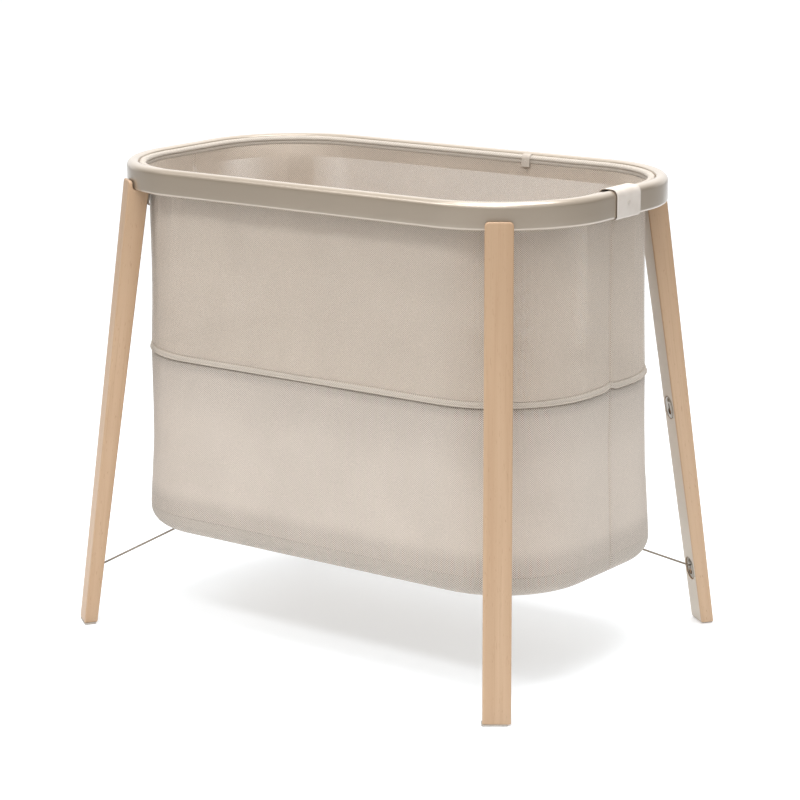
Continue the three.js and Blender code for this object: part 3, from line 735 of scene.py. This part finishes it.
def middle_filled(s, profile, crown=0.0):
    """Rows that follow a profile and then shrink over the middle, rising by crown at the centre."""
    points = placed(s, profile)
    shares = np.array([0.96, 0.88, 0.76, 0.6, 0.42, 0.24, 0.1, 0.003])
    inner = points[:, -1:] * np.stack([shares, shares, np.ones_like(shares)], -1)[None]
    inner[:, :, 2] += crown * MM * np.sin((1 - shares) * math.pi / 2) ** 0.7
    return np.concatenate([points, inner], 1)


def tray_edge():
    """The cloth underside's edge, rounded up to the lower wall."""
    centre = [BASE_INSET + EDGE_RADIUS, TRAY_BOTTOM + EDGE_RADIUS]
    outer, inner = (
        [
            [BASE_INSET + depth, TRAY_TOP],
            *arc(*centre, EDGE_RADIUS - depth, 180, 270, 12),
            [PANEL_INSET, TRAY_BOTTOM + depth],
        ]
        for depth in (0, SKIN)
    )
    profile = profiled([*outer, *inner[::-1]], BASE_RELIEF)
    s = stations(STEP)
    full = all_round(s, profile)
    fade = np.clip((full[0, :, 1] - TRAY_BOTTOM) / 14, 0, 1)
    full[:, :, 0] += (seam_press(s) + slack(s, np.array([TRAY_TOP]))) * fade
    return swept("cloth_edge", full, s)


def tray_panel():
    """The flat cloth panel under the base, sewn inside the rounded edge."""
    s = stations(9)
    low, high = TRAY_BOTTOM, TRAY_BOTTOM + SKIN
    start = PANEL_INSET + 0.4
    below = [[start, (low + high) / 2], [start + 0.6, low + 0.5], [start + 2, low]]
    above = [[start + 0.6, high - 0.5], [start + 2, high]]
    under, over = (middle_filled(s, profiled(rows, BASE_RELIEF)) for rows in (below, above))
    mesh = grid("cloth_panel", np.concatenate([under[:, ::-1], over], 1), around=True)
    flat = np.array([mesh.vertices[loop.vertex_index].co[:2] for loop in mesh.loops])
    mesh.uv_layers.new(name="weave").data.foreach_set("uv", flat.ravel())
    return mesh


def mattress_section(trim):
    """Half-section of the mattress, from the underside to the top, drawn in by trim."""
    low, high = (end.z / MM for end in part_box("mattress_cover"))
    middle = (low + high) / 2
    share = (high - low - 2 * trim) / (high - low)
    rows = [
        *at(low, [[72, 0], [50, 0.4], [43, 2.2], [38.6, 6], [36.8, 11]]),
        [36.4, middle],
        *at(high, [[36.8, -10], [38.8, -5], [43, -1.8], [50, -0.4], [72, 0]]),
    ]
    return profiled([[inset + trim, middle + (height - middle) * share] for inset, height in rows], 6.0)


def mattress(name, trim, crown=0.0):
    """A closed cushion, with even quads all over."""
    s = stations(9, seams=False)
    section = mattress_section(trim)
    upper = middle_filled(s, section, crown)
    lower = middle_filled(s, section[::-1])[:, len(section):][:, ::-1]
    work = thing(name, grid(name, np.concatenate([lower, upper], 1), around=True))
    remesh = work.modifiers.new("remesh", "REMESH")
    remesh.mode = "VOXEL"
    remesh.voxel_size = 0.006
    graph = bpy.context.evaluated_depsgraph_get()
    made = bpy.data.meshes.new_from_object(work.evaluated_get(graph))
    bpy.data.objects.remove(work)
    return finished(made, 80)


def puffed(mesh, most, pressure=3.0, frames=18):
    """The cover blown up a little by cloth simulation, with each point's travel capped at most."""
    scene = bpy.context.scene
    work = thing("puffing", mesh.copy())
    cloth = work.modifiers.new("cloth", "CLOTH")
    cloth.settings.use_pressure = True
    cloth.settings.uniform_pressure_force = pressure
    cloth.settings.effector_weights.gravity = 0
    cloth.settings.quality = 6
    for number in range(1, frames + 1):
        scene.frame_set(number)
    graph = bpy.context.evaluated_depsgraph_get()
    result = work.evaluated_get(graph).to_mesh()
    before, after = (np.array([v.co for v in m.vertices]) for m in (mesh, result))
    travel = after - before
    reach = np.linalg.norm(travel, axis=1, keepdims=True)
    held = before + travel * np.minimum(1, most * MM / np.maximum(reach, 1e-9))
    scene.frame_set(1)
    bpy.data.objects.remove(work)
    mesh.vertices.foreach_set("co", held.ravel())
    mesh.update()
    return mesh


def edge_piping(height, inset):
    """Piping sewn round the edge of the mattress's side."""
    centre = arc(inset, height, 1.4, 0, 360, 10)[:-1]
    return swept("piping", profiled(centre, 6.0), stations(STEP, seams=False))


def border():
    """Breathable mesh border round the mattress's side, between the two rows of piping."""
    low, high = (end.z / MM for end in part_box("mattress_cover"))
    middle = (low + high) / 2
    outer = [[36.9, low + 6.6], [35.9, low + 10], [35.5, middle], [35.9, high - 9], [36.9, high - 5.6]]
    inner = [[inset + 1.2, height] for inset, height in outer[::-1]]
    return swept("border", profiled([*outer, *inner], 6.0), stations(STEP, seams=False))


# ------------ legs
OUTWARD = Vector((math.cos(LEG_FACING), math.sin(LEG_FACING), 0))
ACROSS = Vector((-math.sin(LEG_FACING), math.cos(LEG_FACING), 0))


def leg_outer(height):
    return LEG_FOOT.lerp(LEG_TOP, height / LEG_TOP.z)


def leg_depth(height):
    return LEG_DEPTH_FOOT + (LEG_DEPTH_TOP - LEG_DEPTH_FOOT) * height / LEG_TOP.z


def leg_inner(height):
    return leg_outer(height) - OUTWARD * leg_depth(height)


# axes of a leg's inner face: across it, up along it, and out of the wood towards the crib
FACE_UP = (leg_inner(600) - leg_inner(0)).normalized()
FACE_OUT = FACE_UP.cross(ACROSS).normalized()
FACE_ACROSS = FACE_UP.cross(FACE_OUT)


def face_matrix(height):
    turn = Matrix((FACE_ACROSS, FACE_UP, FACE_OUT)).transposed().to_4x4()
    return Matrix.Translation(leg_inner(height) * MM) @ turn


def on_face(mesh, height):
    mesh.transform(face_matrix(height))
    return mesh


def leg_section(height, trim=0.0, depth=None, in_all=0.0):
    """Rounded rectangle across a leg: trim narrows it, in_all draws in all four sides."""
    radius, steps = 2.5, 5
    centre = leg_outer(height) - OUTWARD * leg_depth(height) / 2
    half_width = LEG_WIDTH / 2 - trim - in_all - radius
    half_depth = (depth or leg_depth(height)) / 2 - in_all - radius
    loop = []
    for corner, (side, face) in enumerate([(1, 1), (-1, 1), (-1, -1), (1, -1)]):
        for step in range(steps + 1):
            angle = (corner + step / steps) * math.pi / 2
            u = side * half_width + radius * math.cos(angle)
            v = face * half_depth + radius * math.sin(angle)
            loop.append(centre + ACROSS * u + OUTWARD * v)
    return loop


def leg_blank():
    """Tapered stave with rounded edges, and large round corners at the top of its tongue."""
    foot, tongue = 3.3, 6.6
    rows = [leg_section(foot, in_all=0.7), leg_section(foot + 0.3, in_all=0.25), leg_section(foot + 0.9)]
    rows += [leg_section(height) for height in range(40, 720, 40)]
    for degrees in (0, 15, 30, 45, 60, 75, 86):
        angle = math.radians(degrees)
        height = LEG_TOP.z - tongue * (1 - math.sin(angle))
        in_all = 0.6 * max(0.0, (degrees - 60) / 26)
        rows.append(leg_section(height, tongue * (1 - math.cos(angle)), in_all=in_all))
    return grid("leg", np.array(rows) * MM, closed=True)


def stadium(radius, half_span, steps=12):
    turns = [math.pi * (end + i / steps) for end in (0, 1) for i in range(steps + 1)]
    shift = [half_span] * (steps + 1) + [-half_span] * (steps + 1)
    return np.array([[radius * math.cos(a), radius * math.sin(a) + move] for a, move in zip(turns, shift)])


def prism(rows, half_span, up=0.0, steps=12):
    """Stadium-shaped solid on +Z, from rows of [radius, height]."""
    loops = []
    for radius, height in rows:
        flat = stadium(radius, half_span, steps) + [0, up]
        loops.append(np.column_stack([flat, np.full(len(flat), height)]))
    return grid("prism", np.array(loops) * MM, closed=True)


def block(width, depth, height, centre_in, bottom, margin=0.0, round_by=0.8):
    """Rounded box on a leg's level axes, as far in from the middle of its shoulder as centre_in."""
    shoulder = leg_outer(RIM_BOTTOM) - OUTWARD * leg_depth(RIM_BOTTOM) / 2
    centre = (shoulder - OUTWARD * centre_in) * MM
    centre.z = (bottom + height / 2) * MM
    work = bmesh.new()
    size = Vector((width + 2 * margin, depth + 2 * margin, height + 2 * margin)) * MM
    bmesh.ops.create_cube(work, size=1, matrix=Matrix.Diagonal(size).to_4x4())
    if round_by:
        offset = round_by * MM
        bmesh.ops.bevel(work, geom=work.edges[:], offset=offset, segments=3, affect="EDGES", profile=0.5)
    turn = Matrix((-ACROSS, OUTWARD, Vector((0, 0, 1)))).transposed().to_4x4()
    work.transform(Matrix.Translation(centre) @ turn)
    mesh = bpy.data.meshes.new("block")
    work.to_mesh(mesh)
    work.free()
    return finished(mesh)


BRACKET_TOP = RIM_BOTTOM - 0.8
BRACKET_BLOCKS = (
    (30, 20, 6, 9.5, BRACKET_TOP - 6),
    (18, 9, 26, 2.7, BRACKET_TOP - 26),
    (30, 11, 27, 6, BRACKET_TOP - 2),
)
GAP = 0.3
CLEAR = 5  # how far cutters stand out of the wood

# keyhole plates: stadiums let into a recess, over a pocket for the cord's stopper
PLATE_SPAN = 3.5
PLATE_BACK = 1.8
PLATE_SCREW_UP = 12.5
RECESS_RADIUS = 16.1
RECESS_FLOOR = 2.1
POCKET_RADIUS = 5.6
POCKET_SPAN = 6.5
POCKET_FLOOR = 12.5


def rim_seat():
    """Cutter in the rim's shape, a little larger all round, for the shoulder that a leg bears on."""
    rounding = at(RIM_BOTTOM, [[2.6, 0], [0.6, 1.2], [-0.8, 3], [-1.2, 5.2]])
    profile = profiled([[4.8, BRACKET_TOP], *rounding, [-1.2, RIM_CREST + 40]])
    return grid("seat", placed(stations(5, seams=False), profile), around=True)


def leg():
    """A leg with its shoulder, the bracket's recess, and a recess and pocket at each keyhole plate."""
    tools = [rim_seat()]
    tools += [block(*spec, margin=GAP, round_by=0) for spec in BRACKET_BLOCKS]
    for height in PLATE_HEIGHTS.values():
        recess = prism([[RECESS_RADIUS, -RECESS_FLOOR], [RECESS_RADIUS, CLEAR]], PLATE_SPAN)
        pocket = prism([[POCKET_RADIUS, -POCKET_FLOOR], [POCKET_RADIUS, CLEAR]], POCKET_SPAN, -1)
        tools += [on_face(recess, height), on_face(pocket, height)]
    return finished(carved(leg_blank(), *tools), 30)


def painted_face(mesh, place):
    """Marks the flat inner face for its paint. The rounded edges, recesses and foot stay bare."""
    normal = place.to_3x3().inverted() @ FACE_OUT
    on_plane = place.inverted() @ (leg_inner(0) * MM)
    for polygon in mesh.polygons:
        flat = polygon.normal.dot(normal) > 0.999
        surface = abs((polygon.center - on_plane).dot(normal)) < 0.0002
        if flat and surface:
            polygon.material_index = 1


def screw(head, height, shank, length, base):
    """Pan-headed screw on +Z, its head standing on base and its socket hexagonal."""
    cap = [
        [0.36, 0.3], [0.36, 1], [0.5, 1], [0.72, 0.95], [0.88, 0.7], [0.97, 0.35], [1, 0.12], [0.97, 0],
    ]
    cap = [[head * across, base + height * up] for across, up in cap]
    return lathe("screw", [*cap, [shank, base], [shank, base - length + 2], [0.5, base - length]], 36, 2)


def keyhole_plate():
    """Pressed steel plate with a softened front edge, a keyhole and a hole for its screw."""
    front = 1.6 - PLATE_BACK
    blank = prism([
        *at(-PLATE_BACK, [[14.7, 0], [15, 0.3]]),
        *at(front, [[15, -0.5], [14.85, -0.15], [14.5, 0]]),
    ], PLATE_SPAN)
    hole = prism([[5.5, -6], [5.5, CLEAR]], 0.01, -6.5)
    slot = prism([[1.8, -6], [1.8, CLEAR]], 5.75, -0.75, 6)
    screw_hole = prism([[2, -6], [2, CLEAR]], 0.01, PLATE_SCREW_UP)
    return finished(carved(blank, hole, slot, screw_hole), 30)


BRACKET_SCREW_DOWN = 16


def bracket_plate():
    """Pressed plate on a leg's inner face, with round corners and its lower edge curled out."""
    sides = np.array([-15, -14.9, -14.5, -13.6, -12, -6, 0, 6, 12, 13.6, 14.5, 14.9, 15])
    rows = []
    for side in sides:
        past = max(0.0, abs(side) - 12) / 3
        corner = 3 * (1 - math.sqrt(max(0.0, 1 - past ** 2)))
        front = 3.3 - 0.7 * past ** 3
        foot = -27 + corner
        section = [
            [-0.1, 0.35], [-0.1, front - 0.6], [-0.5, front - 0.15], [-1.2, front], [foot + 4.4, front],
            [foot + 2.6, front + 0.25], [foot + 1.2, front + 0.9], [foot + 0.3, front + 1.6],
            [foot - 0.1, front + 1.3], [foot, front + 0.4], [foot + 0.9, front - 1.2], [foot + 1.8, 0.5],
            [foot + 3, 0.35],
        ]
        rows.append([[side, up, out] for up, out in section])
    mesh = grid("bracket_plate", np.array(rows) * MM, closed=True)
    hole = prism([[2.6, -3], [2.6, 8]], 0.01, -BRACKET_SCREW_DOWN)
    return on_face(finished(carved(mesh, hole)), BRACKET_TOP)


def merged(name, *meshes):
    work = bmesh.new()
    for mesh in meshes:
        work.from_mesh(mesh)
    made = bpy.data.meshes.new(name)
    work.to_mesh(made)
    work.free()
    return finished(made)


def glide():
    """Felt pad under a leg, set in from the wood's sides."""
    base = leg_depth(0)
    draws = ((0, 2.0), (0.4, 1.5), (1.1, 1.2), (2.6, 1.2), (3.0, 1.5))
    rows = [leg_section(height, 0, base, in_all) for height, in_all in draws]
    return grid("glide", np.array(rows) * MM, closed=True)


# ------------ cords
CORD_DIAMETER = 3.2
CORD_RISE = 4  # the cord's place in the slot, above the plate's middle
ANCHOR = Vector((318, 180, 151.8))
HOLD_LOW = leg_inner(PLATE_HEIGHTS["lower"]) + FACE_UP * CORD_RISE
CORD_WAY = (HOLD_LOW - ANCHOR).normalized()
CORD_START = ANCHOR + CORD_WAY * 3
STOPPER = HOLD_LOW + (CORD_WAY * 0.7 - FACE_OUT * 0.3).normalized() * 8.4


def cord_route():
    """Pulled straight from the base to the slot, then bending into the leg."""
    straight = [CORD_START.lerp(HOLD_LOW, i / 18) for i in range(19)]
    bent = [HOLD_LOW.lerp(STOPPER, i / 4) for i in range(1, 5)]
    return [point * MM for point in straight + bent]


def cord_tube(route, sides=14):
    """A round cord along its route, with plaits counted round and along it for the braid."""
    plaits, pitch = 4, 3.2 * MM
    rows, along = [], [0.0]
    for index, point in enumerate(route):
        ahead = (route[min(index + 1, len(route) - 1)] - route[max(index - 1, 0)]).normalized()
        side = ahead.cross(Vector((0, 0, 1))).normalized()
        top = side.cross(ahead)
        turns = [math.tau * k / sides for k in range(sides)]
        reach = CORD_DIAMETER / 2 * MM
        rows.append([point + (side * math.cos(a) + top * math.sin(a)) * reach for a in turns])
        if index:
            along.append(along[-1] + (point - route[index - 1]).length / pitch)
    across = np.tile(np.linspace(0, plaits, sides + 1), (len(route), 1))
    return grid("cord", np.array(rows), closed=True, along=np.array(along), across=across)


def stopper():
    radius = 3.5
    turns = [math.radians(a) for a in (86, 70, 50, 30, 10, -10, -30, -50, -70, -86)]
    ball = lathe("stopper", [[radius * math.cos(a), radius * math.sin(a)] for a in turns], 20)
    return towards(ball, CORD_WAY, STOPPER)


def cord_anchor():
    """Moulded button sewn under the base, with a hole in its side for the cord."""
    top = TRAY_BOTTOM - GAP
    button = lathe("anchor", at(top, [
        [2.2, -5.0], [2.6, -5.4], [7.6, -5.6], [8.6, -5.3], [9.1, -4.6], [9.9, -1.2], [9.9, -0.5],
        [9.5, 0], [3, 0], [3, 11],
    ]), 48)
    button.transform(Matrix.Translation(Vector((ANCHOR.x, ANCHOR.y, 0)) * MM))
    hole = towards(lathe("hole", [[1.7, 2.5], [1.7, 30]], 20), CORD_WAY, ANCHOR)
    return finished(carved(button, hole), 30)


# ------------ everything in its place
def mirrored(mesh, signs):
    made = mesh.copy()
    made.transform(Matrix.Diagonal((signs[0], signs[1], 1, 1)))
    if signs[0] * signs[1] < 0:
        made.flip_normals()
    return made


def build_crib():
    # each spacer mesh's last numbers are its openness and the painted shade in its holes
    upper_cloth = spacer_mesh("upper_mesh", tone(220, 206, 191), 0.74, 0.12)
    seam = SEAM_BOTTOM * MM
    # painted shade in the lower wall's holes: over the base, where the gap behind is dark, and under the
    # rolled seam
    hole_shade_bands = ((0.235, 0.205, 0.55), (seam - 0.12, seam - 0.02, 0.36), (seam - 0.022, seam - 0.006, 0.4))
    lower_cloth = spacer_mesh("lower_mesh", tone(223, 210, 197), 0.34, 0.06, hole_shade_bands)
    hem_cloth = spacer_mesh("hem_mesh", tone(215, 205, 193), 0.05, 0.45)
    band_cloth = spacer_mesh("band_mesh", tone(222, 210, 196), 0.1, 0.5)
    strap_cloth = coated_fabric("strap_fabric", tone(209, 199, 189), tone(218, 209, 200))
    tab_cloth = coated_fabric("tab_fabric", tone(182, 172, 161), tone(192, 182, 171))
    snap = lacquer("strap_plastic", tone(206, 196, 186), 0.0, 0.5, 0.0001)
    rim_paint = lacquer("rim_paint", tone(174, 158, 138), 0.42, 0.34, 0.000002, coat=1.0)
    piece("rim_channel", rim(), "stand", rim_paint, "rim_metal", "rim")
    piece("hem_roll", hem(), "stand", hem_cloth, "mesh_fabric", "rim_hem")
    piece("joint_strap", strap(), "stand", strap_cloth, "strap_fabric", "rim_strap")
    strap_head = towards(snap_head(4.2, 0.9), (1, 0, 0), (HALF_LENGTH + 2.0, 0, RIM_BOTTOM + 22))
    piece("strap_button", strap_head, "stand", snap, "dark_plastic", "strap_snap")
    piece("folded_tab", inner_tab(), "stand", tab_cloth, "strap_fabric", "inner_tab")
    tab_head = towards(snap_head(3.4, 0.9), (0, -1, 0), (TAB_X, HALF_WIDTH - 32.9, 755))
    piece("tab_button", tab_head, "stand", snap, "steel", "tab_snap")

    upper = piece("upper_wall", upper_wall(), "stand", upper_cloth, "mesh_fabric", "upper_mesh_wall")
    piece("rolled_seam", seam_band(), "stand", band_cloth, "mesh_fabric", "mid_seam_band")
    # painted shade: a dark line laid in the crease under the rolled seam
    shade_line = lacquer("crease_shade_line", tone(140, 127, 111), 0.0, 0.8, 0.0001)
    piece("seam_thread_low", crease_shade_line(28.2, SEAM_BOTTOM - 0.5, 0.75), "stand", shade_line, "mesh_fabric")
    # painted shade: the turned-in allowance is the wall's cloth coloured much darker, as it lies in shade
    # behind the wall
    folded = spacer_mesh("shaded_folded_mesh", tone(176, 163, 148), 0.0, 0.5)
    piece("seam_allowance", seam_allowance(), "stand", folded, "mesh_fabric")
    lower = piece("lower_wall", lower_wall(), "stand", lower_cloth, "mesh_fabric", "lower_mesh_wall")
    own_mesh(lower)


def build_base():
    # painted shade: the base cloth's holes are coloured dark
    under_cloth = spacer_mesh("base_mesh", tone(220, 208, 195), 0.2, 0.7)
    piece("tray_edge", tray_edge(), "base", under_cloth, "mesh_fabric", "base_tray")
    piece("tray_panel", tray_panel(), "base", under_cloth, "mesh_fabric", "base_tray")
    cover = puffed(mattress("mattress", 1.5, 0.0), 4.0)
    cushion = piece("mattress_pad", cover, "base", cotton(), "mattress_cotton", "mattress_cover")
    low, high = (end.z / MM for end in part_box("mattress_cover"))
    side_cloth = spacer_mesh("border_mesh", tone(166, 154, 139), 0.0, 0.5)
    piece("mattress_border", border(), "base", side_cloth, "mesh_fabric")
    for name, height in (("low", low + 5.8), ("high", high - 4.8)):
        piece(f"mattress_piping_{name}", edge_piping(height, 37.6), "base", cotton(), "mattress_cotton")
    core = piece("foam_core", mattress("core", 4.5), "base", foam(), "foam", "mattress_foam")
    white = lacquer("white_plastic", tone(232, 228, 221), 0.0, 0.45, 0.0001)
    for node, finish in (("base_board", white), ("rim_joint_sleeve", brushed_steel())):
        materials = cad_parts[node].data.materials
        materials.clear()
        materials.append(finish)


def build_corners():
    wood = beech()
    paint = lacquer("leg_paint", tone(207, 196, 182), 0.0, 0.5)
    steel = brushed_steel()
    taupe = lacquer("bracket_paint", tone(150, 138, 124), 0.2, 0.45, 0.00004)
    anchor_plastic = lacquer("anchor_plastic", tone(140, 128, 113), 0.0, 0.5, 0.0001)
    pad = felt()
    textile = braid()

    middle = leg_outer(LEG_TOP.z / 2) * MM
    lengthwise = (LEG_TOP - LEG_FOOT).normalized()
    own = Matrix((ACROSS.cross(lengthwise), ACROSS, lengthwise)).transposed().to_4x4()
    own = Matrix.Translation(middle) @ own
    stave = leg()
    stave.transform(own.inverted())
    stave.materials.clear()
    painted_face(stave, own)

    bracket = merged("bracket", bracket_plate(), *(block(*spec) for spec in BRACKET_BLOCKS))
    bracket_screw = on_face(screw(4.2, 2, 2.2, 15, 3.6), BRACKET_TOP)
    bracket_screw.transform(Matrix.Translation(FACE_UP * -BRACKET_SCREW_DOWN * MM))
    plate = keyhole_plate()
    plate_screw = screw(3.6, 1.4, 1.7, 12, 1.6 - PLATE_BACK + GAP)
    plate_screw.transform(Matrix.Translation((0, PLATE_SCREW_UP * MM, 0)))
    fixed_at_each_level = (("plate", plate, "keyhole_plate"), ("bolt", plate_screw, "plate_screw"))
    pad_mesh, anchor_mesh = glide(), cord_anchor()
    route = cord_route()
    tube, ball = cord_tube(route), stopper()

    for corner, signs in CORNERS.items():
        turn = signs[0] * signs[1]
        mirror = Matrix.Diagonal((signs[0], signs[1], 1, 1))
        across_flip = Matrix.Diagonal((turn, 1, 1, 1))
        mesh = stave.copy()
        mesh.transform(across_flip)
        if turn < 0:
            mesh.flip_normals()
        upright = mirror @ own @ across_flip
        post = piece(f"wood_leg_{corner}", mesh, "stand", wood, "beech", f"leg_{corner}", place=upright)
        post.data.materials.append(paint)
        marks = [polygon.material_index for polygon in stave.polygons]
        post.data.polygons.foreach_set("material_index", marks)

        def fitting(name, shape, *settings):
            """A piece in this corner: its name and shape, its body, material and slot (which is not used),
            and its nodes.
            """
            body, material, slot, *nodes = settings
            nodes = [f"{node}_{corner}" for node in nodes]
            return piece(f"{name}_{corner}", mirrored(shape, signs), body, material, slot, *nodes)

        fitting("glide", pad_mesh, "stand", pad, "grey_felt", "foot_glide")
        fitting("bracket", bracket, "stand", taupe, "dark_plastic", "leg_bracket")
        fitting("bracket_bolt", bracket_screw, "stand", steel, "steel", "bracket_screw")
        for level, height in PLATE_HEIGHTS.items():
            for kind, shape, node in fixed_at_each_level:
                let_in = on_face(shape.copy(), height)
                fitting(f"{level}_{kind}", let_in, "stand", steel, "steel", f"{level}_{node}")
        fitting("anchor", anchor_mesh, "base", anchor_plastic, "dark_plastic", "cord_anchor")
        line = fitting("braid", tube, "base", textile, "cord_textile", "cord")
        bead = fitting("stopper", ball, "base", anchor_plastic, "cord_textile")
        for soft in (line, bead):
            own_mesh(soft)


# ------------ room and light
BACKWARDS = (-0.605, 0.796, 0)  # level, from the front of the studio to its backdrop
SIDEWAYS = (0.796, 0.605, 0)


def room():
    """White floor that glows with painted light of its own, so that only the shade under the crib shows.
    """
    reach = 24
    floor = bpy.data.meshes.new("floor")
    corners = [(-reach, -reach, 0), (reach, -reach, 0), (reach, reach, 0), (-reach, reach, 0)]
    floor.from_pydata(corners, [], [(0, 1, 2, 3)])
    made = thing("floor", floor)
    s = Shader("studio_floor")
    cloudy = s.noise(s.place(), 1.3, 2.0)
    spot = s.node("TexCoord").outputs["Object"]
    depth = s.vector("DOT_PRODUCT", spot, BACKWARDS)
    aside = s.vector("DOT_PRODUCT", spot, SIDEWAYS)
    flare = s.maths("MULTIPLY_ADD", s.maths("MAXIMUM", depth, 0.0), -0.19, s.maths("ABSOLUTE", aside))
    # painted shade: past the sides and front the floor turns grey and its glow fades
    past_sides = s.minus(flare, 1.3)
    past_front = s.minus(s.times(depth, -1.0), 1.2)
    painted_falloff = s.remap(s.maths("MAXIMUM", past_sides, past_front), 0.0, 1.6)
    paper = s.mix(cloudy, tone(224, 228, 232), tone(227, 231, 235))
    floor.materials.append(s.finish(
        Base_Color=s.mix(painted_falloff, paper, tone(150, 150, 150)),
        Roughness=0.6,
        Emission_Color=(1, 1, 1, 1),
        Emission_Strength=s.remap(painted_falloff, 0.0, 1.0, 0.33, 0.05),
    ))

    world = bpy.data.worlds.new("studio")
    world.use_nodes = True
    world.node_tree.nodes.clear()
    s.tree = world.node_tree
    way = s.node("TexCoord").outputs["Generated"]
    behind = s.vector("DOT_PRODUCT", way, BACKWARDS)
    height = s.parts(way)["Z"]
    backdrop = s.remap(behind, 0.3, 0.9, 0.15, 1.2)
    front = s.remap(behind, -0.9, -0.3, 0.25, 0.0)
    sky = s.remap(height, 0.25, 0.5, 0.0, 0.52)
    strength = s.plus(s.plus(backdrop, front), sky)
    light = s.node("Background", {"Color": (1, 0.995, 0.985, 1), "Strength": strength})
    s.tree.links.new(light.outputs[0], s.node("OutputWorld").inputs["Surface"])
    bpy.context.scene.world = world

    def softbox(name, place, aim, width, height, watts):
        data = bpy.data.lights.new(name, "AREA")
        data.shape = "RECTANGLE"
        data.size, data.size_y, data.energy = width, height, watts
        lamp = bpy.data.objects.new(name, data)
        bpy.context.collection.objects.link(lamp)
        lamp.location = place
        lamp.rotation_euler = (Vector(aim) - Vector(place)).to_track_quat("-Z", "Y").to_euler()

    softbox("overhead", (0.45, -0.12, 3.6), (0, 0, 0), 2.4, 2.4, 98)
    softbox("front_strip", (-0.1, -2.5, 3.7), (0, 0, 0.6), 5.0, 0.7, 66)
    bpy.context.scene.view_settings.view_transform = "Standard"


camera()
room()
build_crib()
build_base()
build_corners()
